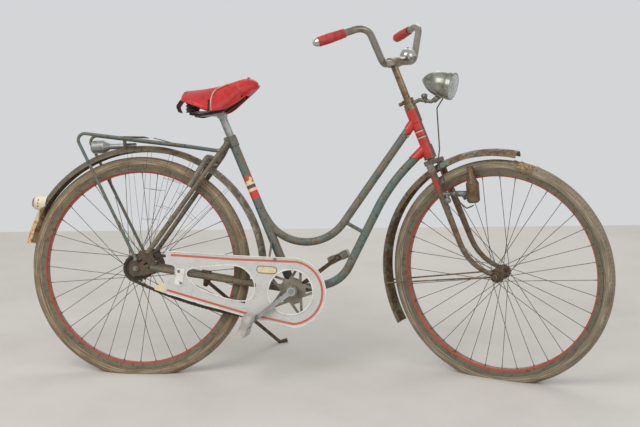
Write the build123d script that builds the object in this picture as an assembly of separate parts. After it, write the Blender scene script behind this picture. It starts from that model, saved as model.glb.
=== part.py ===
"""Step-through roadster bicycle, worn and rusted, leaning on its side stand with the bars turned right.

It is drawn upright in its own frame (x forward from the rear axle, y to the left, z up from the floor).
Then the steered pieces are turned about the head axis, everything is leaned onto the stand, and the whole
is moved so that the origin is at the bottom centre of its box.  Millimetres, +Z up.
"""
import os
from math import acos, atan2, cos, pi, radians, sin, tan

from build123d import *

# pose as it stands
LEAN_DEG = 11.0
STEER_DEG = 23.5

# wheels
TYRE_R = 355.0
TYRE_TUBE_R = 19.0
TYRE_SAG = 19.0
WHEELBASE = 1148.0
RIM_BELOW_TYRE = 31.0
RIM_DEPTH = 20.0
RIM_HALF_W = 17.5
RIM_WALL = 2.3
RIM_BED_DEPTH = 11.0
SPOKE_R = 1.0
SPOKE_PAIRS = 9
SPOKE_STAGGER = 3.6
SPOKE_SWEEP_DEG = 60.0
SPOKE_SEAT = 1.0
RIM_HOLE_Y = 4.0
REAR_AXLE = dict(r=4.75, end=80.0, nut_r=9.5, nut_w=9.0)
FRONT_AXLE = dict(core_r=4.5, core_end=60.5, r=4.0, end=67.0, nut_r=8.5, nut_w=8.0)
BEARING_GAP = 0.08
FRONT_FLANGE = dict(r=19.0, y=32.5)
REAR_FLANGE = dict(r=33.0, y=27.0)
FRONT_HUB = [(10.5, 41.5), (11.5, 38.2), (22.0, 37.2), (22.0, 28.2), (11.5, 26.0), (10.5, 20.0)]
REAR_HUB_LEFT = [(14.0, 52.0), (22.0, 48.0), (24.0, 34.0), (37.0, 31.5), (37.0, 23.0), (27.0, 20.0),
                 (25.0, 0.0)]
REAR_HUB_RIGHT = [(15.4, 50.0), (15.4, 41.0), (18.0, 33.0), (37.0, 31.5), (37.0, 23.0), (27.0, 20.0)]

# frame
BB_X = 496.0
BB_Z = 271.0
BB_R = 21.0
BB_HALF_W = 34.0
BB_BORE_R = 12.0
SEAT_ANGLE = 66.83
SEAT_TUBE_LEN = 528.6
SEAT_TUBE_R = 14.3
SEAT_LUG = dict(length=34.0, wall=2.5)
POST_R = 12.5
POST_IN = 118.0
POST_OUT = 94.0
HEAD_ANGLE = 68.0
HEAD_TRAIL = 55.0
HEAD_LOW_Z = 695.0
HEAD_TOP_Z = 842.0
HEAD_R = 17.0
LUG_R = 20.0
LUG_LOW_H = 34.0
LUG_TOP_H = 40.0
LUG_SLEEVE = dict(length=50.0, wall=2.2, tip_deg=38.0)
STEER_BORE_R = 14.0
TOP_TUBE = dict(r=12.4, bend=146.0, below_head_top=30.0, low_dx=28.4, low_dz=28.9, on_seat=284.8)
DOWN_TUBE = dict(r=13.5, bend=(560.0, 110.0), above_head_low=31.0, knee_dx=-126.0, knee_dz=-87.0,
                 low_dx=149.5, low_dz=27.4)
TIE = dict(r=6.0, top_at=0.63, down_at=0.5)
CHAIN_STAY = dict(r=9.5, bb_dx=-10.0, bb_y=20.0, bb_dz=1.5, hub_dx=44.0, hub_y=59.5, hub_dz=2.5)
STAY_BRIDGE = dict(r=6.0, bb_dx=-60.0, dz=9.0)
SEAT_STAY = dict(r=7.5, bend=40.0, eye_r=9.5)
SEAT_STAY_TOP = [(-9.0, 20.0, -22.0), (-30.0, 42.0, -57.0)]
SEAT_STAY_END = (34.0, 59.5, 48.0)
DROPOUT_IN = 57.0
DROPOUT_T = 5.0
DROPOUT_EDGE = [(-24, -14), (-22, 18), (18, 58), (44, 58), (64, 16), (62, -10), (28, -22), (-12, -26)]
DROPOUT_ROUND = 8.0
DROPOUT_SLOTS = [(12.0, 24.0), (30.0, 15.0)]
DROPOUT_SLOT = dict(length=15.0, w=4.5, tilt=28.0)
DROPOUT_EYE = dict(dx=40.0, dz=2.0, r=3.0)
CUP_H = 5.0
CUP_TOP_H = 9.0
BRAKE_ARM = dict(t=3.0, y=53.2, hub_r=17.0, end_dx=128.0, end_dz=-8.0, end_r=9.0)

# drive
CHAIN_Y = 46.0
RING_TEETH = 48
SPROCKET_TEETH = 20
PITCH = 12.7
TOOTH_UP = 3.4
TOOTH_DOWN = 3.6
RING_T = 2.4
RING_RIM = 13.0
RING_HUB_R = 38.0
RING_ARMS = 5
RING_ARM_DEG = 2.0
RING_ARM = dict(base=22.0, tip=5.0, window=0.55)
SPROCKET_BOSS = dict(r=21.0, bore=15.5)
CHAIN = dict(half_w=4.0, groove=2.4, pin_up=5.6, waist_up=4.4, down=3.6, web=1.0, sag=24.0)
CRANK_LEN = 165.0
CRANK_IN = 71.0
CRANK_T = 12.0
CRANK_DEG = 217.5
CRANK_BOSS_R = 14.0
CRANK_EYE_R = 10.0
CRANK_AXLE_R = 8.5
PEDAL = dict(gap=6.0, length=96.0, w=68.0, plate=3.0, plate_h=24.0, block_w=25.0, block_h=27.0,
             tube_r=11.0, pin_r=4.8)
PEDAL_TILT = dict(right=-72.0, left=-24.0)
GUARD_Y = 63.5
GUARD_T = 1.6
GUARD_LIP = 9.0
GUARD_LIP_FROM = -320.0
GUARD_ROUND = 7.0
GUARD_EDGE = [(-402, 122), (-187, 110), (2, 104.5), (2, -113.5), (-141, -84), (-396, -14), (-452, 4),
              (-412, 18), (-372, 42), (-372, 70), (-400, 96)]
GUARD_NOSE = dict(dx=-2.0, dz=-4.5, past_ring=12.0)
GUARD_HOLE = dict(dx=-4.0, dz=-3.0, r=70.0)
GUARD_WINDOW = [(-338, 44), (-329, 65), (-289, 71), (-186, 81), (-144, 67), (-111, 19), (-132, -45),
                (-288, -3)]
GUARD_WINDOW_ROUND = 14.0
GUARD_BOSS = dict(dx=-353.0, r=9.0)
GUARD_ARM = dict(r=3.5, on_seat=180.0, dx=-72.0, dz=101.5)

# mudguards
FENDER_HALF_W = 27.0
FENDER_DEPTH = 20.0
FENDER_T = 1.6
REAR_FENDER = dict(dx=12.0, dz=-6.0, gap=42.0, a0=-3.0, a1=168.0)
FRONT_FENDER = dict(dx=-8.0, dz=0.0, gap=33.0, a0=79.5, a1=208.5)
FENDER_BOLT_R = 5.0
SEAT_BRIDGE_DROP = 38.0
FRONT_STAY = dict(r=2.5, angle=187.6, eye_r=8.0, eye_w=2.4, bend=30.0)

# rack, lock and what is carried
RACK = dict(y=68.0, front_y=44.0, r=5.0, bend=20.0, bar_r=4.0)
RACK_FRONT = dict(x=258.0, below_seat=47.0)
RACK_KNEE = dict(x=150.0, over_guard=-2.0361)
RACK_TAIL = dict(x=-204.0, over_guard=38.9639)
RACK_FOOT = dict(y=72.0, above_axle=30.0)
RACK_BARS = [0.11, 0.407, 0.859, 1.0]
CLIP_PLATES = [dict(back=-63.0, back_up=4.8, front=14.0, front_up=13.0),
               dict(back=46.0, back_up=13.0, front=104.0, front_up=4.8)]
CLIP = dict(half_w=34.0, t=2.6)
TORCH = dict(y=22.0, tail=-172.0, neck=-112.0, front=-25.0, r=21.0, tube_r=9.0, tail_over=-4.5, front_over=1.0)
LOCK = dict(r=8.5, y_low=50.0, y_top=46.0, bend=14.0)
LOCK_LOW = (164.2, 596.0)
LOCK_TOP = (222.0, 690.0)
REAR_LAMP = dict(angle=148.2, droop=0.5, r0=27.0, r1=21.5, length=24.0, sunk=16.0, lens_r=20.0, lens_tip=15.0,
                 lens_l=8.0)

# saddle, as (x, half width, top, edge) along its length, drawn round the place of the post's end
SADDLE_POST = (251.0314, 843.382)
SADDLE = [(138, 60, 895, 868), (152, 86, 900, 862), (188, 100, 904, 849), (232, 96, 911, 832),
          (274, 70, 922, 836), (308, 45, 934, 858), (340, 30, 942, 884), (362, 22, 939, 902), (376, 11, 928, 914)]
SADDLE_SKIN = 9.0
SADDLE_RAIL = [(344, 10, 915), (322, 22, 872), (264, 27, 836), (192, 36, 822), (164, 46, 826)]
SADDLE_RAIL_R = 4.0
SADDLE_RAIL_BEND = 14.0
SADDLE_SPRING = dict(x=166.0, y=46.0, z0=830.0, z1=880.0, r=14.0, dip=4.0, turns=5)
SADDLE_CLAMP = dict(r=14.0, half_w=24.0, below_top=20.0, bar_l=86.0, bar_w=44.0, bar_h=14.0, bar_dx=-34.0,
                    bar_dz=-14.0)
BAG_PATH = [(160, 876), (132, 872), (117, 852), (126, 832)]
BAG = dict(half_w=30.0, t=4.0, bend=6.0)

# steering
CROWN_BELOW = 16.0
CROWN = dict(length=30.0, h=14.0, fwd=7.0, overlap=11.5, round=10.0, edge=4.0)
STEERER_R = 13.0
BLADE_TOP_Y = 44.0
BLADE_LOW_Y = 50.0
BLADE_TOP_R = 12.0
BLADE_LOW_R = 7.0
BLADE_FWD = 8.0
BLADE_KNEE = dict(dx=-85.4, dz=31.0, bend=150.0)
FORK_TAB = dict(r=12.0, y0=43.5, y1=48.0, up=3.0)
LOCKNUT = dict(gap=0.4, h=24.0, at=18.0, lobe_r=6.0, lobe_out=32.0)
LOCKNUT_STEPS = [(0.0, 8.0, 19.0), (8.0, 13.0, 15.5), (13.0, 24.0, 18.5)]
STEM_R = 11.0
STEM_IN = 30.0
STEM_CLAMP = dict(r=15.5, half_w=34.0)
BAR_R = 11.0
BAR_BEND = 45.0
BAR = [(3.4, 0.0, 149.0), (21.0, 118.0, 148.0), (56.7, 205.0, 266.0), (-81.0, 290.2, 223.0)]
GRIP = dict(r0=13.5, r1=15.5, length=84.0, cap=17.0)
BELL = dict(along=0.71, r=26.0, foot_r=9.0, foot=17.0)
LAMP_BACK = (75.6, 95.0)
LAMP_FRONT = (169.3, 72.0)
LAMP = dict(r=40.0, rim_r=44.0, rim_w=13.0, lens_r=38.0, lens_bulge=7.0)
LAMP_ARM = [(14.0, 22.0), (42.0, 32.0), (77.7, 26.0), (116.0, 42.0)]
LAMP_ARM_R = 6.0
LAMP_ARM_BEND = 8.0
WIRE_R = 2.0
WIRE_BEND = 8.0
WIRE = [(125.3, 0, 187), (89.6, -4, 153), (52.7, -24, 27), (49.8, -64, -5), (43.4, -66, -95),
        (79.2, -58, -150), (100.4, -44, -142)]
DYNAMO = [(105.0, -46.0, -133.0), (127.7, -45.0, -67.0), (131.6, -39.0, -40.0), (134.5, -36.5, -23.0)]
DYNAMO_R = dict(body=20.0, neck=9.0, roller=10.0, edge=6.0)
DYNAMO_ARM = dict(r=6.0, start=(113.4, -46.0, -105.0), end=(17.8, -49.0, -109.0))

# stand
STAND_X = 204.0
STAND_OUT = 16.8
STAND_DROP = 24.6
STAND_FOOT = (412.0, 330.0)
STAND_FOLDED = (-0.955, 0.25, 0.16)
STAND = dict(r=6.0, boss_r=10.0, boss_h=7.5, pin_r=5.0, pin_gap=0.08, arm_r=8.0, gap=1.2, toe=26.0, lift=5.0)

# sizes that follow from those above
HUB_Z = TYRE_R - TYRE_SAG
RIM_R = TYRE_R - RIM_BELOW_TYRE
RIM_INNER_R = RIM_R - RIM_DEPTH
HEAD_DIR = Vector(-cos(radians(HEAD_ANGLE)), 0, sin(radians(HEAD_ANGLE)))
HEAD_FWD = Vector(sin(radians(HEAD_ANGLE)), 0, cos(radians(HEAD_ANGLE)))
SEAT_DIR = Vector(-cos(radians(SEAT_ANGLE)), 0, sin(radians(SEAT_ANGLE)))
BB = Vector(BB_X, 0, BB_Z)
REAR = Vector(0, 0, HUB_Z)
FRONT = Vector(WHEELBASE, 0, HUB_Z)
SEAT_TOP = BB + SEAT_DIR * SEAT_TUBE_LEN
RING_PITCH_R = PITCH / (2 * sin(pi / RING_TEETH))
SPROCKET_PITCH_R = PITCH / (2 * sin(pi / SPROCKET_TEETH))


# helpers
def head(z):
    """Point of the head axis at height z."""
    return Vector(WHEELBASE + HEAD_TRAIL - z / tan(radians(HEAD_ANGLE)), 0, z)


def by_head(fwd, side, z):
    """Point a distance ahead of the head axis, to the left of it, at height z."""
    return head(z) + Vector(fwd, side, 0)


def rod(a, b, r, r_end=None):
    """Round bar from a to b, tapered when r_end is given."""
    plane = Plane(origin=a, z_dir=b - a)
    length = (b - a).length
    foot = (Align.CENTER, Align.CENTER, Align.MIN)
    if r_end is None:
        return plane * Cylinder(r, length, align=foot)
    return plane * Cone(r, r_end, length, align=foot)


def tube(points, r, bend=None):
    """Round bar along straight runs joined by arcs."""
    line = FilletPolyline(*points, radius=bend) if bend else Polyline(*points)
    start = Plane(origin=line @ 0, z_dir=line % 0)
    return sweep(start * Circle(r), path=line)


def tapered(points, r0, r1, bend, steps=16):
    """Round bar along straight runs joined by arcs, tapered from r0 to r1."""
    line = FilletPolyline(*points, radius=bend)
    sections = []
    for i in range(steps + 1):
        t = i / steps
        sections.append(Plane(origin=line @ t, z_dir=line % t) * Circle(r0 + (r1 - r0) * t))
    return loft(sections, ruled=True)


def plate(sketch, y0, y1):
    """Flat plate in the x-z plane, from y0 to y1."""
    return extrude(Plane.XZ.offset(-y1) * sketch, amount=y1 - y0)


def disc(at, r, y0, y1):
    """Round plate across the y axis at a point."""
    return plate(Pos(at.X, at.Z) * Circle(r), y0, y1)


def around_bb(points):
    return [(BB_X + dx, BB_Z + dz) for dx, dz in points]


def turned(profile):
    """Profile of (radius, y) points turned about the y axis."""
    return revolve(make_face(Polyline(*profile, close=True)), axis=Axis.Y)


def both_sides(shape):
    return shape + mirror(shape, about=Plane.XZ)


def fender_frame(spec, x):
    """Centre and outer radius of a mudguard."""
    return Vector(x + spec["dx"], 0, HUB_Z + spec["dz"]), TYRE_R + spec["gap"]


def fender_band(spec, x, hollow):
    """Half-round sheet band round a wheel, or all that lies under its skin."""
    mid, r = fender_frame(spec, x)
    edge = r - FENDER_DEPTH
    low = FENDER_HALF_W - FENDER_T
    sides = [ThreePointArc((edge, -FENDER_HALF_W), (r, 0), (edge, FENDER_HALF_W))]
    if hollow:
        sides.append(Line((edge, FENDER_HALF_W), (edge, low)))
        sides.append(ThreePointArc((edge, low), (r - FENDER_T, 0), (edge, -low)))
        sides.append(Line((edge, -low), (edge, -FENDER_HALF_W)))
    else:
        sides.append(Line((edge, FENDER_HALF_W), (edge, -FENDER_HALF_W)))
    band = revolve(make_face(sides), axis=Axis.Y, revolution_arc=spec["a1"] - spec["a0"])
    return Pos(mid.X, 0, mid.Z) * Rot(0, -spec["a1"], 0) * band


def toothed(teeth, y0, y1, at):
    """Sprocket blank with pointed teeth."""
    pitch_r = PITCH / (2 * sin(pi / teeth))
    points = []
    for i in range(teeth):
        for part, up in ((0.0, TOOTH_UP), (0.25, TOOTH_UP * 0.8), (0.4, -TOOTH_DOWN), (0.6, -TOOTH_DOWN),
                         (0.75, TOOTH_UP * 0.8)):
            a = 2 * pi * (i + part) / teeth
            points.append(((pitch_r + up) * cos(a), (pitch_r + up) * sin(a)))
    return plate(Pos(at.X, at.Z) * make_face(Polyline(*points, close=True)), y0, y1)


def spokes(flange):
    """Crossed spokes round a hub centred on the origin, each one's end inside a flange."""
    bars = []
    reach = RIM_INNER_R + SPOKE_SEAT
    for side in (-1, 1):
        for k in range(2 * SPOKE_PAIRS):
            lead = 1 if k % 2 else -1
            hub_a = radians(k * 180 / SPOKE_PAIRS + (90 / SPOKE_PAIRS if side > 0 else 0))
            rim_a = hub_a + lead * radians(SPOKE_SWEEP_DEG)
            hub_y = side * (flange["y"] + lead * SPOKE_STAGGER)
            a = Vector(flange["r"] * cos(hub_a), hub_y, flange["r"] * sin(hub_a))
            b = Vector(reach * cos(rim_a), side * RIM_HOLE_Y, reach * sin(rim_a))
            bars.append(rod(a, b, SPOKE_R))
    return bars


def chain_line(up):
    """Edges of the chain's run round ring and sprocket, a distance outside the pitch line."""
    r_ring = RING_PITCH_R + up
    r_small = SPROCKET_PITCH_R + up
    apart = BB - REAR
    base = atan2(apart.Z, apart.X)
    spread = acos((r_small - r_ring) / apart.length)
    ring_up, ring_fore, ring_low = [(BB_X + r_ring * cos(a), BB_Z + r_ring * sin(a))
                                    for a in (base + spread, base, base - spread)]
    back_up, back_aft, back_low = [(r_small * cos(a), HUB_Z + r_small * sin(a))
                                   for a in (base + spread, base + pi, base - spread)]
    middle = ((ring_low[0] + back_low[0]) / 2, (ring_low[1] + back_low[1]) / 2 - CHAIN["sag"])
    return [Line(back_up, ring_up), ThreePointArc(ring_up, ring_fore, ring_low),
            ThreePointArc(ring_low, middle, back_low), ThreePointArc(back_low, back_aft, back_up)]


nodes = {}
steered = set()
flattened = set()


def add(name, shape, steer=False, flat=False):
    nodes[name] = shape
    if steer:
        steered.add(name)
    if flat:
        flattened.add(name)


# wheels
rim_half = [(RIM_INNER_R, 10.0 / 17.5 * RIM_HALF_W), (RIM_INNER_R + RIM_DEPTH * 0.2, RIM_HALF_W - RIM_WALL),
            (RIM_R, RIM_HALF_W), (RIM_R, RIM_HALF_W - RIM_WALL), (RIM_R - RIM_BED_DEPTH, RIM_HALF_W * 0.7)]
rim = turned(rim_half + [(r, -y) for r, y in reversed(rim_half)])
tyre_mid = TYRE_R - TYRE_TUBE_R
tyre_half = [(tyre_mid + TYRE_TUBE_R * cos(a), TYRE_TUBE_R * sin(a)) for a in (pi / 4, pi / 2)]
tyre_half.append((RIM_R, RIM_HALF_W))
tyre = turned([(TYRE_R, 0.0)] + tyre_half + [(r, -y) for r, y in reversed(tyre_half)])
front_bore = FRONT_AXLE["core_r"] + BEARING_GAP
rear_bore = REAR_AXLE["r"] + BEARING_GAP
front_hub = turned([(front_bore, FRONT_HUB[0][1])] + FRONT_HUB + [(r, -y) for r, y in reversed(FRONT_HUB)]
                   + [(front_bore, -FRONT_HUB[0][1])])
rear_hub = turned([(rear_bore, REAR_HUB_LEFT[0][1])] + REAR_HUB_LEFT
                  + [(r, -y) for r, y in reversed(REAR_HUB_RIGHT)] + [(rear_bore, -REAR_HUB_RIGHT[0][1])])
wheels = [("front", FRONT, FRONT_FLANGE, front_hub), ("rear", REAR, REAR_FLANGE, rear_hub)]
for prefix, at, flange, hub in wheels:
    place = Pos(at.X, 0, at.Z)
    front = prefix == "front"
    add(prefix + "_tyre", place * tyre, front, True)
    add(prefix + "_rim", place * rim, front)
    add(prefix + "_hub", place * (hub + spokes(flange)), front)
sprocket = toothed(SPROCKET_TEETH, -CHAIN_Y - 1, -CHAIN_Y + 1, REAR)
sprocket += disc(REAR, SPROCKET_BOSS["r"], -CHAIN_Y + 1, -CHAIN_Y + 4.6)
add("rear_sprocket", sprocket - disc(REAR, SPROCKET_BOSS["bore"], -2 * CHAIN_Y, 0))

# head, seat tube and bottom bracket
bb_solid = disc(BB, BB_R, -BB_HALF_W, BB_HALF_W)
head_solid = rod(head(HEAD_LOW_Z), head(HEAD_TOP_Z), HEAD_R)
head_solid += rod(head(HEAD_LOW_Z), head(HEAD_LOW_Z + LUG_LOW_H), LUG_R)
head_solid += rod(head(HEAD_TOP_Z - LUG_TOP_H), head(HEAD_TOP_Z), LUG_R)
steer_bore = rod(head(HEAD_LOW_Z - LUG_LOW_H), head(HEAD_TOP_Z + LUG_TOP_H), STEER_BORE_R)
seat_solid = rod(BB, SEAT_TOP, SEAT_TUBE_R)
seat_lug = rod(SEAT_TOP - SEAT_DIR * SEAT_LUG["length"], SEAT_TOP, SEAT_TUBE_R + SEAT_LUG["wall"])
post_hole = rod(SEAT_TOP - SEAT_DIR * (POST_IN + 2), SEAT_TOP + SEAT_DIR * 5, POST_R)

top_points = [head(HEAD_TOP_Z - TOP_TUBE["below_head_top"]),
              BB + Vector(TOP_TUBE["low_dx"], 0, TOP_TUBE["low_dz"]), BB + SEAT_DIR * TOP_TUBE["on_seat"]]
down_points = [head(HEAD_LOW_Z + DOWN_TUBE["above_head_low"]),
               head(HEAD_LOW_Z) + Vector(DOWN_TUBE["knee_dx"], 0, DOWN_TUBE["knee_dz"]),
               BB + Vector(DOWN_TUBE["low_dx"], 0, DOWN_TUBE["low_dz"]), BB]
top_solid = tube(top_points, TOP_TUBE["r"], TOP_TUBE["bend"])
down_solid = tube(down_points, DOWN_TUBE["r"], DOWN_TUBE["bend"])


def lug_sleeve(points, r, tip_up):
    """Sleeve of a lug along a tube, cut slanting to a tip."""
    way = (points[1] - points[0]).normalized()
    end = points[0] + way * LUG_SLEEVE["length"]
    slant = way.rotate(Axis.Y, LUG_SLEEVE["tip_deg"] * tip_up)
    sleeve = rod(points[0], end + way * 30, r + LUG_SLEEVE["wall"])
    beyond = Box(200, 200, 200, align=(Align.CENTER, Align.CENTER, Align.MIN))
    return sleeve - Plane(origin=end, z_dir=slant) * beyond


top_sleeve = lug_sleeve(top_points, TOP_TUBE["r"], 1)
down_sleeve = lug_sleeve(down_points, DOWN_TUBE["r"], -1)
add("head_tube", head_solid + top_sleeve + down_sleeve - steer_bore)
seat_bolt_at = SEAT_TOP - SEAT_DIR * 10 + Vector(-SEAT_TUBE_R - 3, 0, 0)
seat_bolt = rod(seat_bolt_at - Vector(0, 15, 0), seat_bolt_at + Vector(0, 15, 0), 6.5)
seat_stay_points = [SEAT_TOP + Vector(*p) for p in SEAT_STAY_TOP] + [REAR + Vector(*SEAT_STAY_END)]
seat_eye = Pos(*seat_stay_points[0]) * Sphere(SEAT_STAY["eye_r"])
seat_stay = both_sides(tube(seat_stay_points, SEAT_STAY["r"], SEAT_STAY["bend"]) + seat_eye)
add("seat_tube", seat_solid + seat_lug + seat_bolt - bb_solid - post_hole)
add("bottom_bracket", bb_solid - disc(BB, BB_BORE_R, -2 * BB_HALF_W, 2 * BB_HALF_W))
add("top_tube", top_solid - head_solid - top_sleeve - seat_solid - seat_lug)
add("down_tube", down_solid - head_solid - down_sleeve - bb_solid)
tie_top = top_points[0] + (top_points[1] - top_points[0]) * TIE["top_at"]
tie_low = down_points[1] + (down_points[2] - down_points[1]) * TIE["down_at"]
add("tie_strut", rod(tie_top, tie_low, TIE["r"]) - top_solid - down_solid)

# stays, dropouts, rear axle
stay_front = BB + Vector(CHAIN_STAY["bb_dx"], CHAIN_STAY["bb_y"], CHAIN_STAY["bb_dz"])
stay_back = REAR + Vector(CHAIN_STAY["hub_dx"], CHAIN_STAY["hub_y"], CHAIN_STAY["hub_dz"])
chain_stay = both_sides(rod(stay_front, stay_back, CHAIN_STAY["r"]))


def on_stay(x):
    """Point of the left chain stay's axis at x."""
    return stay_front + (stay_back - stay_front) * ((stay_front.X - x) / (stay_front.X - stay_back.X))


bridge_at = on_stay(BB_X + STAY_BRIDGE["bb_dx"])
stay_bridge = rod(bridge_at, Vector(bridge_at.X, -bridge_at.Y, bridge_at.Z), STAY_BRIDGE["r"])
add("chain_stays", chain_stay + stay_bridge - bb_solid - seat_solid)
add("seat_stays", seat_stay - seat_solid - seat_lug - seat_bolt)
dropout_out = DROPOUT_IN + DROPOUT_T
edge = [(dx, HUB_Z + dz) for dx, dz in DROPOUT_EDGE]
dropout_face = make_face(FilletPolyline(*edge, radius=DROPOUT_ROUND, close=True))
for dx, dz in DROPOUT_SLOTS:
    slot = SlotOverall(DROPOUT_SLOT["length"], DROPOUT_SLOT["w"])
    dropout_face -= Pos(dx, HUB_Z + dz) * Rot(0, 0, DROPOUT_SLOT["tilt"]) * slot
dropout_face -= Pos(DROPOUT_EYE["dx"], HUB_Z + DROPOUT_EYE["dz"]) * Circle(DROPOUT_EYE["r"])
dropout_face -= Pos(0, HUB_Z) * Circle(REAR_AXLE["r"] + 0.2)
dropouts = both_sides(plate(dropout_face, DROPOUT_IN, dropout_out))
add("dropouts", dropouts - chain_stay - seat_stay)
rear_hex = Pos(0, HUB_Z) * RegularPolygon(REAR_AXLE["nut_r"], 6)
rear_nut = plate(rear_hex, dropout_out, dropout_out + REAR_AXLE["nut_w"])
add("rear_axle", disc(REAR, REAR_AXLE["r"], -REAR_AXLE["end"], REAR_AXLE["end"]) + both_sides(rear_nut))
arm_end = REAR + Vector(BRAKE_ARM["end_dx"], 0, BRAKE_ARM["end_dz"])
arm_y = BRAKE_ARM["y"]
brake_arm = disc(REAR, BRAKE_ARM["hub_r"], arm_y, arm_y + BRAKE_ARM["t"])
brake_arm += disc(arm_end, BRAKE_ARM["end_r"], arm_y, arm_y + BRAKE_ARM["t"])
arm_mid = (REAR + arm_end) * 0.5
arm_at = arm_mid + Vector(0, arm_y + BRAKE_ARM["t"] / 2, 0)
arm_way = Plane(origin=arm_at, x_dir=arm_end - REAR, z_dir=(0, 1, 0))
brake_arm += arm_way * Box((arm_end - REAR).length, 13, BRAKE_ARM["t"])
clamp_at = on_stay(arm_end.X)
stay_way = (stay_back - stay_front).normalized()
brake_arm += rod(clamp_at - stay_way * 8, clamp_at + stay_way * 8, CHAIN_STAY["r"] + 2)
brake_arm -= chain_stay + disc(REAR, REAR_AXLE["r"] + 0.1, 0, 2 * DROPOUT_IN)
add("brake_arm", brake_arm)
cups = rod(head(HEAD_LOW_Z - CUP_H), head(HEAD_LOW_Z), LUG_R)
cups += rod(head(HEAD_TOP_Z), head(HEAD_TOP_Z + CUP_TOP_H), LUG_R)
add("headset_cups", cups - steer_bore)

# saddle and what hangs behind it
post_end = SEAT_TOP + SEAT_DIR * POST_OUT
add("seat_post", rod(SEAT_TOP - SEAT_DIR * POST_IN, post_end, POST_R - 0.2))


def saddle_section(x, half_w, top, low):
    arch = ThreePointArc((-half_w, low), (0, top), (half_w, low))
    face = make_face([arch, Line((half_w, low), (-half_w, low))])
    return Plane(origin=(x, 0, 0), x_dir=(0, 1, 0), z_dir=(1, 0, 0)) * face


on_post = Pos(post_end.X - SADDLE_POST[0], 0, post_end.Z - SADDLE_POST[1])
saddle_outer = on_post * loft([saddle_section(*row) for row in SADDLE])
inner_rows = [(x, w - SADDLE_SKIN, top - SADDLE_SKIN, low - SADDLE_SKIN) for x, w, top, low in SADDLE[1:-2]]
saddle_cover = saddle_outer - on_post * loft([saddle_section(*row) for row in inner_rows])
add("saddle_cover", saddle_cover)
clamp_at = post_end - SEAT_DIR * SADDLE_CLAMP["below_top"]
side = Vector(0, SADDLE_CLAMP["half_w"], 0)
saddle_clamp = rod(clamp_at - side, clamp_at + side, SADDLE_CLAMP["r"])
saddle_clamp += Pos(post_end.X + SADDLE_CLAMP["bar_dx"], 0, post_end.Z + SADDLE_CLAMP["bar_dz"]) * Box(
    SADDLE_CLAMP["bar_l"], SADDLE_CLAMP["bar_w"], SADDLE_CLAMP["bar_h"])
saddle_clamp -= rod(SEAT_TOP, post_end + SEAT_DIR * 20, POST_R - 0.2)
add("saddle_clamp", saddle_clamp)
spring = SADDLE_SPRING
coil = [(0, spring["z0"])]
for i in range(2 * spring["turns"] + 1):
    z = spring["z0"] + (spring["z1"] - spring["z0"]) * i / (2 * spring["turns"])
    coil.append((spring["r"] - (spring["dip"] if i % 2 else 0), z))
coil.append((0, spring["z1"]))
coil_face = make_face(Polyline(*[(r, 0, z) for r, z in coil], close=True))
coils = on_post * Pos(spring["x"], spring["y"], 0) * revolve(coil_face, axis=Axis.Z)
rail = on_post * tube([Vector(*p) for p in SADDLE_RAIL], SADDLE_RAIL_R, SADDLE_RAIL_BEND)
add("saddle_frame", both_sides(rail + coils) - saddle_clamp - saddle_cover)
bag_line = FilletPolyline(*BAG_PATH, radius=BAG["bend"])
bag_face = trace(bag_line, BAG["t"])
saddle_bag = on_post * plate(bag_face, -BAG["half_w"], BAG["half_w"])
add("saddle_bag", saddle_bag - saddle_cover - saddle_clamp - both_sides(rail + coils))

# rear mudguard and lamp
rear_fender = fender_band(REAR_FENDER, 0.0, True)
rear_core = fender_band(REAR_FENDER, 0.0, False)
fender_mid, fender_r = fender_frame(REAR_FENDER, 0.0)
add("rear_fender", rear_fender)
lamp_a = radians(REAR_LAMP["angle"])
lamp_at = fender_mid + Vector(cos(lamp_a), 0, sin(lamp_a)) * fender_r
lamp_way = Vector(cos(lamp_a), 0, sin(lamp_a)) + Vector(-sin(lamp_a), 0, cos(lamp_a)) * REAR_LAMP["droop"]
lamp_way = lamp_way.normalized()
lamp_face = lamp_at + lamp_way * REAR_LAMP["length"]
rear_lamp = rod(lamp_at - lamp_way * REAR_LAMP["sunk"], lamp_face, REAR_LAMP["r0"], REAR_LAMP["r1"])
outer_part = max((rear_lamp - rear_core).solids(), key=lambda part: part.volume)
add("rear_lamp", outer_part)
lens_end = lamp_face + lamp_way * REAR_LAMP["lens_l"]
add("rear_lamp_lens", rod(lamp_face, lens_end, REAR_LAMP["lens_r"], REAR_LAMP["lens_tip"]))

# rack and its clip
guard_top = fender_mid.Z + fender_r
rack_points = [Vector(RACK_FRONT["x"], RACK["front_y"], SEAT_TOP.Z - RACK_FRONT["below_seat"]),
               Vector(RACK_KNEE["x"], RACK["y"] - 8, guard_top + RACK_KNEE["over_guard"]),
               Vector(RACK_TAIL["x"], RACK["y"], guard_top + RACK_TAIL["over_guard"]),
               Vector(0, RACK_FOOT["y"], HUB_Z + RACK_FOOT["above_axle"])]
rack = both_sides(tube(rack_points, RACK["r"], RACK["bend"]))


def on_rack(x):
    """Height of the rack's rails at x."""
    part = (x - rack_points[2].X) / (rack_points[1].X - rack_points[2].X)
    return rack_points[2].Z + (rack_points[1].Z - rack_points[2].Z) * part


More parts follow.
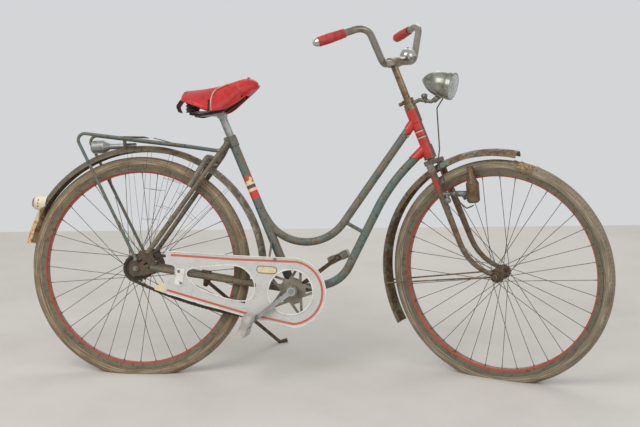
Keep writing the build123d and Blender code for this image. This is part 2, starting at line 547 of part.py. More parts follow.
for part in RACK_BARS:
    bar_at = rack_points[2] + (rack_points[1] - rack_points[2]) * part
    rack += rod(bar_at, Vector(bar_at.X, -bar_at.Y, bar_at.Z), RACK["bar_r"])
add("rack_frame", rack - dropouts - seat_stay)
clips = []
for row in CLIP_PLATES:
    back = Vector(row["back"], 0, on_rack(row["back"]) + row["back_up"])
    fore = Vector(row["front"], 0, on_rack(row["front"]) + row["front_up"])
    lay = Plane(origin=(back + fore) * 0.5, x_dir=fore - back, z_dir=(fore - back).cross(Vector(0, 1, 0)))
    clips.append(lay * Box((fore - back).length, 2 * CLIP["half_w"], CLIP["t"]))
add("rack_clip", Compound(children=[c - rack for c in clips]))
torch_tail = Vector(TORCH["tail"], TORCH["y"], guard_top + TORCH["tail_over"])
torch_front = Vector(TORCH["front"], TORCH["y"], guard_top + TORCH["front_over"])
torch_way = (torch_front - torch_tail).normalized()
torch_neck = torch_tail + torch_way * (TORCH["neck"] - TORCH["tail"])
torch = rod(torch_tail, torch_tail + torch_way * 6, TORCH["r"] - 6, TORCH["r"])
torch += rod(torch_tail + torch_way * 6, torch_neck - torch_way * 16, TORCH["r"])
torch += rod(torch_neck - torch_way * 16, torch_neck, TORCH["r"], TORCH["tube_r"] + 2)
torch += rod(torch_neck, torch_front, TORCH["tube_r"])
strap_at = rack_points[2] + (rack_points[1] - rack_points[2]) * RACK_BARS[1]
torch += rod(Vector(strap_at.X, TORCH["y"], strap_at.Z), Vector(strap_at.X, TORCH["y"], torch_tail.Z + 5), 3)
add("torch_tube", torch - rack)
lock_points = [Vector(LOCK_LOW[0], LOCK["y_low"], LOCK_LOW[1]), Vector(LOCK_TOP[0], LOCK["y_top"], LOCK_TOP[1])]
lock_points += [Vector(p.X, -p.Y, p.Z) for p in reversed(lock_points)]
add("frame_lock", tube(lock_points, LOCK["r"], LOCK["bend"]) - seat_stay)

# fixings of mudguard and guard
stay_run = (seat_stay_points[2] - seat_stay_points[1]).normalized()
bridge_low = seat_stay_points[1] + stay_run * SEAT_BRIDGE_DROP
bridge_mid = Vector(bridge_low.X, 0, bridge_low.Z)
tail_bar = rack_points[2] + (rack_points[1] - rack_points[2]) * RACK_BARS[1]
tail_mid = Vector(tail_bar.X, 0, tail_bar.Z)
stay_bridge_mid = Vector(bridge_at.X, 0, bridge_at.Z)
brackets = rod(bridge_low, Vector(bridge_low.X, -bridge_low.Y, bridge_low.Z), FENDER_BOLT_R)
for start in (bridge_mid, tail_mid):
    way = (fender_mid - start).normalized()
    reach = (fender_mid - start).length - fender_r + FENDER_DEPTH / 2
    brackets += rod(start, start + way * reach, FENDER_BOLT_R)
low_a = radians(REAR_FENDER["a0"] + 1.5)
fender_low = fender_mid + Vector(cos(low_a), 0, sin(low_a)) * (fender_r - FENDER_DEPTH / 2)
brackets += rod(stay_bridge_mid, fender_low, FENDER_BOLT_R)
brackets -= rear_core + rack + seat_stay + stay_bridge
guard_seat = on_stay(BB_X + GUARD_BOSS["dx"])
boss_in = Vector(guard_seat.X, -guard_seat.Y, guard_seat.Z)
guard_boss = rod(boss_in, Vector(guard_seat.X, -GUARD_Y, guard_seat.Z), GUARD_BOSS["r"])
arm_top = BB + SEAT_DIR * GUARD_ARM["on_seat"]
arm_low = BB + Vector(GUARD_ARM["dx"], -GUARD_Y, GUARD_ARM["dz"])
guard_arm = rod(arm_top, arm_low + (arm_low - arm_top).normalized() * 6, GUARD_ARM["r"])
guard_arm -= Pos(arm_low.X, -GUARD_Y - 20, arm_low.Z) * Box(40, 40, 40)
guard_arm -= seat_solid
add("frame_brackets", Compound(children=[brackets, guard_boss - chain_stay, guard_arm]))

# chain guard and chain
nose_at = Pos(BB_X + GUARD_NOSE["dx"], BB_Z + GUARD_NOSE["dz"])
nose = nose_at * Circle(RING_PITCH_R + GUARD_NOSE["past_ring"])
guard_edge = make_face(FilletPolyline(*around_bb(GUARD_EDGE), radius=GUARD_ROUND, close=True)) + nose
guard_hole = Pos(BB_X + GUARD_HOLE["dx"], BB_Z + GUARD_HOLE["dz"]) * Circle(GUARD_HOLE["r"])
guard_window = make_face(FilletPolyline(*around_bb(GUARD_WINDOW), radius=GUARD_WINDOW_ROUND, close=True))
chain_guard = plate(guard_edge - guard_hole - guard_window, -GUARD_Y - GUARD_T, -GUARD_Y)
lip = plate(guard_edge - offset(guard_edge, amount=-GUARD_T), -GUARD_Y, -GUARD_Y + GUARD_LIP)
lip_cut = Pos(BB_X + GUARD_LIP_FROM - 200, -GUARD_Y, BB_Z) * Box(400, 100, 800)
add("chain_guard", chain_guard + (lip - lip_cut - guard_arm))
pitch_wire = Wire(chain_line(0.0))
links = round(pitch_wire.length / PITCH)
links += links % 2
rim_points = []
for i in range(2 * links):
    at = pitch_wire.position_at(i / (2 * links))
    way = pitch_wire.tangent_at(i / (2 * links))
    up = CHAIN["waist_up"] if i % 2 else CHAIN["pin_up"]
    rim_points.append((at.X - way.Y * up, at.Y + way.X * up))
chain_face = make_face(Polyline(*rim_points, close=True)) - make_face(chain_line(-CHAIN["down"]))
groove = make_face(chain_line(CHAIN["waist_up"] - CHAIN["web"]))
chain = plate(chain_face, -CHAIN_Y - CHAIN["half_w"], -CHAIN_Y + CHAIN["half_w"])
add("chain", chain - plate(groove, -CHAIN_Y - CHAIN["groove"], -CHAIN_Y + CHAIN["groove"]))

# cranks and pedals
ring_inner = RING_PITCH_R - RING_RIM
ring_y = (-CHAIN_Y - RING_T / 2, -CHAIN_Y + RING_T / 2)
chainring = toothed(RING_TEETH, *ring_y, BB) - disc(BB, ring_inner, -2 * CHAIN_Y, 0)
chainring += disc(BB, RING_HUB_R, *ring_y)
for i in range(RING_ARMS):
    base_r, tip_r = RING_HUB_R - 8, ring_inner + 2
    arm_edge = [(base_r, -RING_ARM["base"]), (tip_r, -RING_ARM["tip"]), (tip_r, RING_ARM["tip"]),
                (base_r, RING_ARM["base"])]
    half = RING_ARM["base"] * RING_ARM["window"] * 0.8
    gap_edge = [(RING_HUB_R + 4, -half), (ring_inner - 8, 0), (RING_HUB_R + 4, half)]
    arm_face = make_face(Polyline(*arm_edge, close=True)) - make_face(Polyline(*gap_edge, close=True))
    turn = RING_ARM_DEG + 360 * i / RING_ARMS
    chainring += plate(Pos(BB_X, BB_Z) * Rot(0, 0, turn) * arm_face, *ring_y)
crank_bore = disc(BB, CRANK_AXLE_R, -2 * CRANK_IN, 2 * CRANK_IN)
chainring += disc(BB, CRANK_BOSS_R + 4, -CRANK_IN, -CHAIN_Y)
add("chainring", chainring - crank_bore)
axle_end = CRANK_IN + CRANK_T + 3
add("crank_axle", disc(BB, CRANK_AXLE_R, -axle_end, axle_end))
for name, sign, turn in (("right", -1, CRANK_DEG), ("left", 1, CRANK_DEG - 180)):
    a = radians(turn)
    way = Vector(cos(a), 0, sin(a))
    eye = BB + way * CRANK_LEN
    y0, y1 = sorted((sign * CRANK_IN, sign * (CRANK_IN + CRANK_T)))
    crank = disc(BB, CRANK_BOSS_R, y0, y1) + disc(eye, CRANK_EYE_R, y0, y1)
    blade_face = make_face(Polyline((0, -CRANK_BOSS_R * 0.55), (CRANK_LEN, -CRANK_EYE_R * 0.6),
                                    (CRANK_LEN, CRANK_EYE_R * 0.6), (0, CRANK_BOSS_R * 0.55), close=True))
    crank += plate(Pos(BB_X, BB_Z) * Rot(0, 0, turn) * blade_face, y0 + 1.5, y1 - 1.5)
    pin_y = sign * (CRANK_IN - 3)
    add("crank_" + name, crank - crank_bore - disc(eye, PEDAL["pin_r"] + 0.3, y0 - 1, y1 + 1))
    near = CRANK_IN + CRANK_T + PEDAL["gap"]
    mid_y = sign * (near + PEDAL["length"] / 2)
    pedal = Cylinder(PEDAL["tube_r"], PEDAL["length"], rotation=(90, 0, 0))
    for end in (-1, 1):
        ear = RectangleRounded(PEDAL["w"], PEDAL["plate_h"], PEDAL["plate_h"] * 0.45)
        y = end * (PEDAL["length"] - PEDAL["plate"]) / 2
        pedal += plate(ear, y - PEDAL["plate"] / 2, y + PEDAL["plate"] / 2)
        block = Box(PEDAL["block_w"], PEDAL["length"] - 2 * PEDAL["plate"], PEDAL["block_h"])
        block = fillet(block.edges().filter_by(Axis.Y), 5)
        pedal += Pos(end * (PEDAL["w"] - PEDAL["block_w"]) / 2, 0, 0) * block
    pedal = Pos(eye.X, mid_y, eye.Z) * Rot(0, PEDAL_TILT[name], 0) * pedal
    pin = disc(eye, PEDAL["pin_r"], *sorted((pin_y, mid_y)))
    add("pedal_" + name, pedal + pin)

# fork, headset and stem
crown_z = HEAD_LOW_Z - CROWN_BELOW
crown_plane = Plane(origin=head(crown_z), x_dir=HEAD_FWD, z_dir=HEAD_DIR)
crown = Box(CROWN["length"], 2 * (BLADE_TOP_Y + CROWN["overlap"]), CROWN["h"])
crown = fillet(crown.edges().filter_by(Axis.Z), CROWN["round"])
crown = fillet(crown.edges().group_by(Axis.Z)[-1], CROWN["edge"])
crown = crown_plane * Pos(CROWN["fwd"], 0, 0) * crown
steerer = rod(head(crown_z), head(HEAD_TOP_Z + STEM_IN), STEERER_R)
quill_hole = rod(head(HEAD_TOP_Z - STEM_IN - 10), head(HEAD_TOP_Z + 2 * STEM_IN), STEM_R + 0.2)
add("fork_crown", crown + steerer - quill_hole, True)
blade_points = [head(crown_z - 3) + Vector(BLADE_FWD, BLADE_TOP_Y, 0),
                FRONT + Vector(BLADE_KNEE["dx"], BLADE_LOW_Y, BLADE_KNEE["dz"]),
                FRONT + Vector(0, BLADE_LOW_Y, FORK_TAB["up"])]
blade = tapered(blade_points, BLADE_TOP_R, BLADE_LOW_R, BLADE_KNEE["bend"])
tab = disc(FRONT, FORK_TAB["r"], FORK_TAB["y0"], FORK_TAB["y1"])
nut_seat = disc(FRONT, FORK_TAB["r"], FORK_TAB["y1"], 2 * BLADE_LOW_Y)
hub_room = disc(FRONT, FORK_TAB["r"] + 6, 0, FORK_TAB["y0"])
blades = both_sides(blade + tab - nut_seat - hub_room)
add("fork_blades", blades - crown - disc(FRONT, FRONT_AXLE["core_r"] + 0.2, -99, 99), True)
front_hex = Pos(WHEELBASE, HUB_Z) * RegularPolygon(FRONT_AXLE["nut_r"], 6)
front_nut = plate(front_hex, FORK_TAB["y1"], FORK_TAB["y1"] + FRONT_AXLE["nut_w"])
front_axle = disc(FRONT, FRONT_AXLE["r"], -FRONT_AXLE["end"], FRONT_AXLE["end"]) + both_sides(front_nut)
front_axle += disc(FRONT, FRONT_AXLE["core_r"], -FRONT_AXLE["core_end"], FRONT_AXLE["core_end"])
add("front_axle", front_axle, True)
nut_low = HEAD_TOP_Z + CUP_TOP_H + LOCKNUT["gap"]
locknut = rod(head(nut_low), head(nut_low + LOCKNUT["h"]), LOCKNUT_STEPS[1][2])
for low, high, r in LOCKNUT_STEPS:
    locknut += rod(head(nut_low + low), head(nut_low + high), r)
lobe_at = head(nut_low + LOCKNUT["at"])
locknut += rod(lobe_at, lobe_at - HEAD_FWD * LOCKNUT["lobe_out"], LOCKNUT["lobe_r"])
locknut -= rod(head(HEAD_TOP_Z), head(HEAD_TOP_Z + 2 * LOCKNUT["h"]), STEERER_R)
add("headset_nut", locknut, True)
bar_points = [by_head(fwd, y, HEAD_TOP_Z + up) for fwd, y, up in BAR]
bar = both_sides(tube(bar_points, BAR_R, BAR_BEND))
bar_side = Vector(0, STEM_CLAMP["half_w"], 0)
stem = rod(head(HEAD_TOP_Z - STEM_IN), head(bar_points[0].Z), STEM_R)
stem += rod(bar_points[0] - bar_side, bar_points[0] + bar_side, STEM_CLAMP["r"])
stem -= both_sides(rod(bar_points[0], bar_points[1], BAR_R))
add("stem", stem, True)
add("handlebar", bar - stem, True)
tip = bar_points[3]
grip_way = (bar_points[2] - tip).normalized()
grip = rod(tip, tip + grip_way * GRIP["length"] * 0.4, GRIP["r1"] - 1, GRIP["r1"])
grip += rod(tip + grip_way * GRIP["length"] * 0.4, tip + grip_way * GRIP["length"], GRIP["r1"], GRIP["r0"])
grip -= rod(tip, tip + grip_way * 2 * GRIP["length"], BAR_R)
add("grips", both_sides(grip), True)
cap_mid = tip - grip_way * GRIP["cap"] * 0.5
cap = rod(tip, cap_mid, GRIP["r1"] - 1.5, GRIP["r1"] - 4)
cap += rod(cap_mid, tip - grip_way * GRIP["cap"], GRIP["r1"] - 4, 5)
add("grip_caps", both_sides(cap), True)
bell_at = bar_points[0] + (bar_points[1] - bar_points[0]) * BELL["along"]
bell = rod(bell_at, bell_at + Vector(0, 0, BELL["foot"]), BELL["foot_r"])
dome = Sphere(BELL["r"]) & Pos(0, 0, BELL["r"] / 2) * Box(2 * BELL["r"], 2 * BELL["r"], BELL["r"])
add("bell", bell + Pos(bell_at.X, bell_at.Y, bell_at.Z + BELL["foot"]) * dome - bar, True)

# lamp, wire and dynamo
lamp_back = by_head(LAMP_BACK[0], 0, HEAD_TOP_Z + LAMP_BACK[1])
lamp_front = by_head(LAMP_FRONT[0], 0, HEAD_TOP_Z + LAMP_FRONT[1])
lamp_axis = Plane(origin=lamp_back, x_dir=(0, 1, 0), z_dir=lamp_front - lamp_back)
lamp_l = (lamp_front - lamp_back).length
r, rim_r = LAMP["r"], LAMP["rim_r"]
rim_z = lamp_l - LAMP["rim_w"]
shell_edges = [ThreePointArc((0, 0, 0), (r * 0.66, 0, rim_z * 0.27), (r, 0, rim_z))]
rim_edge = [(r, 0, rim_z), (rim_r, 0, rim_z), (rim_r - 1, 0, lamp_l), (0, 0, lamp_l), (0, 0, 0)]
shell_edges += Polyline(*rim_edge).edges()
shell = lamp_axis * revolve(make_face(shell_edges), axis=Axis.Z)
add("lamp_shell", shell, True)
ball_r = (LAMP["lens_r"] ** 2 + LAMP["lens_bulge"] ** 2) / (2 * LAMP["lens_bulge"])
lens = Pos(0, 0, lamp_l + LAMP["lens_bulge"] - ball_r) * Sphere(ball_r)
lens &= Pos(0, 0, lamp_l) * Cylinder(2 * rim_r, 2 * rim_r, align=(Align.CENTER, Align.CENTER, Align.MIN))
add("lamp_lens", lamp_axis * lens, True)
lamp_arm = tube([by_head(fwd, 0, HEAD_TOP_Z + up) for fwd, up in LAMP_ARM], LAMP_ARM_R, LAMP_ARM_BEND)
lamp_arm -= locknut + rod(head(HEAD_TOP_Z), head(HEAD_TOP_Z + 3 * LOCKNUT["h"]), STEERER_R) + shell
dyn = [by_head(fwd, y, HEAD_LOW_Z + up) for fwd, y, up in DYNAMO]
dyn_way = (dyn[1] - dyn[0]).normalized() * DYNAMO_R["edge"]
dynamo = rod(dyn[0], dyn[0] + dyn_way, DYNAMO_R["body"] - DYNAMO_R["edge"], DYNAMO_R["body"])
dynamo += rod(dyn[0] + dyn_way, dyn[1] - dyn_way, DYNAMO_R["body"])
dynamo += rod(dyn[1] - dyn_way, dyn[1] + dyn_way, DYNAMO_R["body"], DYNAMO_R["neck"] + 4)
dynamo += rod(dyn[1], dyn[2], DYNAMO_R["neck"] + 4, DYNAMO_R["neck"])
dynamo += rod(dyn[2], dyn[3], DYNAMO_R["roller"])
add("dynamo", dynamo, True)
arm_ends = [DYNAMO_ARM["start"], DYNAMO_ARM["end"]]
arm_start, arm_stop = [by_head(fwd, y, HEAD_LOW_Z + up) for fwd, y, up in arm_ends]
dynamo_arm = rod(arm_start, arm_stop, DYNAMO_ARM["r"]) - dynamo - blades
add("fork_brackets", Compound(children=[lamp_arm, dynamo_arm]), True)
wire_points = [by_head(fwd, y, HEAD_LOW_Z + up) for fwd, y, up in WIRE]
add("lamp_wire", tube(wire_points, WIRE_R, WIRE_BEND) - shell - dynamo, True)

# front mudguard
front_fender = fender_band(FRONT_FENDER, WHEELBASE, True)
add("front_fender", front_fender, True)
front_mid, front_r = fender_frame(FRONT_FENDER, WHEELBASE)
stay_a = radians(FRONT_STAY["angle"])
eye_y = FORK_TAB["y1"] + FRONT_AXLE["nut_w"]
stay_y = eye_y + FRONT_STAY["eye_w"] / 2
stay_tip = front_mid + Vector(cos(stay_a), 0, sin(stay_a)) * (front_r - FENDER_DEPTH + 2)
stay_tip = Vector(stay_tip.X, FENDER_HALF_W + FRONT_STAY["r"] - 0.6, stay_tip.Z)
stay_eye = disc(FRONT, FRONT_STAY["eye_r"], eye_y, eye_y + FRONT_STAY["eye_w"])
fender_stay = rod(FRONT + Vector(-5, stay_y, 0), stay_tip, FRONT_STAY["r"]) + stay_eye
fender_stay -= front_fender + both_sides(front_nut) + disc(FRONT, FRONT_AXLE["core_r"] + 0.2, 0, 99)
add("fender_stays", both_sides(fender_stay), True)

# stand
pivot = on_stay(STAND_X) + Vector(0, STAND_OUT, -STAND_DROP)
foot = Vector(STAND_FOOT[0], STAND_FOOT[1], STAND_FOOT[1] * tan(radians(LEAN_DEG)))
leg_way = (foot - pivot).normalized()
fold_way = Vector(*STAND_FOLDED).normalized()
turn_axis = leg_way.cross(fold_way).normalized()
boss_low = pivot - turn_axis * STAND["boss_h"]
boss_top = pivot + turn_axis * STAND["boss_h"]
toe_way = Vector(1, 0.35, 0.3).normalized()
corner = foot - leg_way * STAND["lift"]
leg = rod(boss_low, boss_top, STAND["boss_r"])
leg += rod(pivot + leg_way * STAND["boss_r"] * 0.8, corner, STAND["r"])
leg += rod(corner - toe_way * STAND["r"] * 0.5, corner + toe_way * STAND["toe"], STAND["r"] + 0.6)
leg -= rod(pivot - turn_axis * 30, pivot + turn_axis * 30, STAND["pin_r"] + STAND["pin_gap"])
add("stand_leg", leg, False, True)
arm_from = on_stay(STAND_X)
stand_clamp = rod(arm_from, pivot - turn_axis * (STAND["boss_h"] + 8), STAND["arm_r"])
stand_clamp += rod(arm_from - stay_way * 14, arm_from + stay_way * 14, CHAIN_STAY["r"] + 4)
leg_room = rod(boss_low - turn_axis * STAND["gap"], boss_top + turn_axis * 20, STAND["boss_r"] + STAND["gap"])
stand_clamp -= leg_room
stand_clamp += rod(pivot - turn_axis * (STAND["boss_h"] + 10), boss_top + turn_axis * 2, STAND["pin_r"])
add("stand_clamp", stand_clamp - chain_stay)

# pose and hand over
steer_axis = Axis(head(0), HEAD_DIR)
floor = Pos(WHEELBASE / 2, 0, -TYRE_R) * Box(4 * WHEELBASE, 4 * WHEELBASE, 2 * TYRE_R)
placed = {}
for name, shape in nodes.items():
    if name in steered:
        shape = shape.rotate(steer_axis, -STEER_DEG)
    shape = shape.rotate(Axis.X, -LEAN_DEG)
    if name in flattened:
        shape = shape - floor
    placed[name] = shape

boxes = [shape.bounding_box() for shape in placed.values()]
low = Vector(*(min(getattr(b.min, c) for b in boxes) for c in "XYZ"))
high = Vector(*(max(getattr(b.max, c) for b in boxes) for c in "XYZ"))
shift = Vector(-(low.X + high.X) / 2, -(low.Y + high.Y) / 2, -low.Z)
os.makedirs("parts", exist_ok=True)
for name, shape in placed.items():
    export_step(shape.moved(Location(shift)), "parts/" + name + ".step")
print("box", [round(v, 1) for v in (low.X, low.Y, low.Z, high.X, high.Y, high.Z)])
print("shift", round(shift.X, 3), round(shift.Y, 3), round(shift.Z, 3))
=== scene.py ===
import math

import bmesh
import bpy
from mathutils import Matrix, Vector, noise


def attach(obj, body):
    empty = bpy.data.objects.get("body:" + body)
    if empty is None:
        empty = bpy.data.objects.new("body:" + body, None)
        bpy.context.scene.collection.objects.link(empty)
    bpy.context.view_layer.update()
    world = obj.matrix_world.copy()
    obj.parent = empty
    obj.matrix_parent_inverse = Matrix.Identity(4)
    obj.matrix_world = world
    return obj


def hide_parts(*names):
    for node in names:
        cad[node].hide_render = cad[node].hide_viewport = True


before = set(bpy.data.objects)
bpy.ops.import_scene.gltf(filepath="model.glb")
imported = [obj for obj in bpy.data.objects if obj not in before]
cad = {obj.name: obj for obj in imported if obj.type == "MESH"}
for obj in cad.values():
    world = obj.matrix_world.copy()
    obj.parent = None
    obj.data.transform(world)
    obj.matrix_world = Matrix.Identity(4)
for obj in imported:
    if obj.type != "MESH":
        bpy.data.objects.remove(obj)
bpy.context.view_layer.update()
scene = bpy.context.scene

# the bicycle's own upright frame, in millimetres, as the solids were drawn
SHIFT = Vector((-547.882, -181.842, 0.0))
LEAN = math.radians(11.0)
STEER = math.radians(23.5)
WHEELBASE = 1148.0
HUB_Z = 336.0
TYRE_R = 355.0
TYRE_TUBE_R = 19.0
HEAD_FOOT_X = 1203.0
HEAD_ANGLE = math.radians(68.0)
HEAD_DIR = Vector((-math.cos(HEAD_ANGLE), 0.0, math.sin(HEAD_ANGLE)))
HEAD_LOW_Z = 695.0
HEAD_TOP_Z = 842.0
BB = Vector((496.0, 0.0, 271.0))
SEAT_TOP = Vector((288.0, 0.0, 757.0))
FENDER_AT = Vector((12.0, 0.0, HUB_Z - 6.0))
FENDER_R = 397.0
GUARD_FACE_Y = -65.1
LEAN_TURN = Matrix.Rotation(-LEAN, 3, "X")
STEER_TURN = Matrix.Rotation(-STEER, 3, HEAD_DIR)
HEAD_FOOT = Vector((HEAD_FOOT_X, 0.0, 0.0))


def head(z):
    """Point of the head's axis at a height."""
    return Vector((HEAD_FOOT_X - z / math.tan(HEAD_ANGLE), 0.0, z))


def by_head(fwd, y, up):
    """Point ahead of the head axis, to its left, at a height over the head's lower end."""
    return head(HEAD_LOW_Z + up) + Vector((fwd, y, 0))


def row(point, steer=False):
    """Point of the upright frame, in millimetres, as metres in the row frame."""
    p = Vector(point)
    if steer:
        p = STEER_TURN @ (p - HEAD_FOOT) + HEAD_FOOT
    return (LEAN_TURN @ p + SHIFT) / 1000


def way(direction, steer=False):
    """Direction of the upright frame, as a unit vector in the row frame."""
    d = Vector(direction).normalized()
    if steer:
        d = STEER_TURN @ d
    return LEAN_TURN @ d


def arc(centre, r, degrees):
    """Points of a flat circle at a row of angles."""
    turns = [math.radians(t) for t in degrees]
    return [(centre[0] + r * math.cos(a), centre[1] + r * math.sin(a)) for a in turns]


REAR_FOOT = row((0, 0, 0))
REAR_AXLE = row((0, 0, HUB_Z))
FRONT_AXLE = row((WHEELBASE, 0, HUB_Z), True)
FORWARD = way((1, 0, 0))
RIGHT_OUT = way((0, -1, 0))


# materials
def srgb(r, g, b):
    def lin(c):
        c /= 255
        return c / 12.92 if c <= 0.04045 else ((c + 0.055) / 1.055) ** 2.4
    return (lin(r), lin(g), lin(b), 1.0)


class Paint:
    """One node material, built up layer by layer from the object's own coordinates."""

    def __init__(self, name, rough=0.6, metal=0.0):
        self.mat = bpy.data.materials.new(name)
        self.mat.use_nodes = True
        self.tree = self.mat.node_tree
        self.shader = self.tree.nodes["Principled BSDF"]
        self.shader.inputs["Metallic"].default_value = metal
        self.shader.inputs["Roughness"].default_value = rough
        coord = self.tree.nodes.new("ShaderNodeTexCoord")
        self.place = coord.outputs["Object"]
        self.uv = coord.outputs["UV"]
        self.colour = None
        self.height = None

    def new(self, kind):
        return self.tree.nodes.new(kind)

    def join(self, a, b):
        self.tree.links.new(a, b)

    def math(self, op, a, b=0.0):
        n = self.new("ShaderNodeMath")
        n.operation = op
        for socket, value in zip(n.inputs, (a, b)):
            if hasattr(value, "links"):
                self.join(value, socket)
            else:
                socket.default_value = value
        return n.outputs[0]

    def times(self, a, b):
        return self.math("MULTIPLY", a, b)

    def noise(self, scale, detail=6.0, rough=0.6, lift=0.0):
        """Cloudy values, taken from another place of the pattern by a lift."""
        n = self.new("ShaderNodeTexNoise")
        n.inputs["Scale"].default_value = scale
        n.inputs["Detail"].default_value = detail
        n.inputs["Roughness"].default_value = rough
        m = self.new("ShaderNodeMapping")
        m.inputs["Location"].default_value = (lift, lift * 0.7, -lift)
        self.join(self.place, m.inputs["Vector"])
        self.join(m.outputs["Vector"], n.inputs["Vector"])
        return n.outputs["Fac"]

    def ragged(self, value, scale, reach, detail=6.0, rough=0.6):
        """A distance made uneven by noise."""
        return self.math("ADD", value, self.times(self.noise(scale, detail, rough), reach))

    def step(self, value, low, high):
        n = self.new("ShaderNodeMapRange")
        n.interpolation_type = "SMOOTHSTEP"
        n.inputs["From Min"].default_value = low
        n.inputs["From Max"].default_value = high
        self.join(value, n.inputs["Value"])
        return n.outputs["Result"]

    def along(self, axis, start):
        """Distance in metres along an axis from a point."""
        d = self.new("ShaderNodeVectorMath")
        d.operation = "DOT_PRODUCT"
        self.join(self.place, d.inputs[0])
        d.inputs[1].default_value = axis
        return self.math("SUBTRACT", d.outputs["Value"], start.dot(axis))

    def away(self, point):
        """Distance in metres from a point."""
        d = self.new("ShaderNodeVectorMath")
        d.operation = "DISTANCE"
        self.join(self.place, d.inputs[0])
        d.inputs[1].default_value = point
        return d.outputs["Value"]

    def band(self, value, low, high, soft=0.0006):
        a = self.step(value, low - soft, low + soft)
        b = self.step(value, high - soft, high + soft)
        return self.math("SUBTRACT", a, b)

    def layer(self, colour, mask=None):
        if mask is None:
            rgb = self.new("ShaderNodeRGB")
            rgb.outputs[0].default_value = colour
            self.colour = rgb.outputs[0]
            return self
        mix = self.new("ShaderNodeMix")
        mix.data_type = "RGBA"
        self.join(mask, mix.inputs["Factor"])
        self.join(self.colour, mix.inputs["A"])
        mix.inputs["B"].default_value = colour
        self.colour = mix.outputs["Result"]
        return self

    def mottle(self, colour, scale, low, high, detail=8.0, lift=0.0):
        """Patches of a colour where noise passes from a low to a high value."""
        return self.layer(colour, self.step(self.noise(scale, detail, 0.65, lift), low, high))

    def rougher(self, mask, low, high):
        n = self.new("ShaderNodeMapRange")
        n.inputs["To Min"].default_value = low
        n.inputs["To Max"].default_value = high
        self.join(mask, n.inputs["Value"])
        self.join(n.outputs["Result"], self.shader.inputs["Roughness"])
        return self

    def bump(self, value, depth, strength=0.6):
        b = self.new("ShaderNodeBump")
        b.inputs["Strength"].default_value = strength
        b.inputs["Distance"].default_value = depth
        self.join(value, b.inputs["Height"])
        if self.height is not None:
            self.join(self.height, b.inputs["Normal"])
        self.height = b.outputs["Normal"]
        return self

    def done(self):
        self.join(self.colour, self.shader.inputs["Base Color"])
        if self.height is not None:
            self.join(self.height, self.shader.inputs["Normal"])
        return self.mat


RUST = srgb(92, 69, 49)
RUST_DARK = srgb(56, 46, 37)
RUST_PALE = srgb(138, 112, 82)
PIT_SCALE = 420.0


def rusted(name, base, second, rust=0.5, dark=0.56, rough=(0.5, 0.85), metal=0.0, pits=0.0005):
    """Worn paint or plating: two tones, rust, dark specks and pits. A higher rust value leaves less."""
    p = Paint(name, metal=metal)
    p.layer(base).mottle(second, 26.0, 0.42, 0.62)
    rust_mask = p.step(p.noise(58.0, 12.0, 0.74, lift=3.0), rust, rust + 0.12)
    p.layer(RUST, rust_mask)
    p.mottle(RUST_PALE, 150.0, 0.60, 0.72, lift=5.0)
    p.mottle(RUST_DARK, 95.0, dark, dark + 0.12, lift=9.0)
    p.rougher(rust_mask, *rough)
    p.bump(p.noise(PIT_SCALE, 5.0), pits, 0.5)
    p.bump(rust_mask, pits * 0.6, 0.4)
    return p


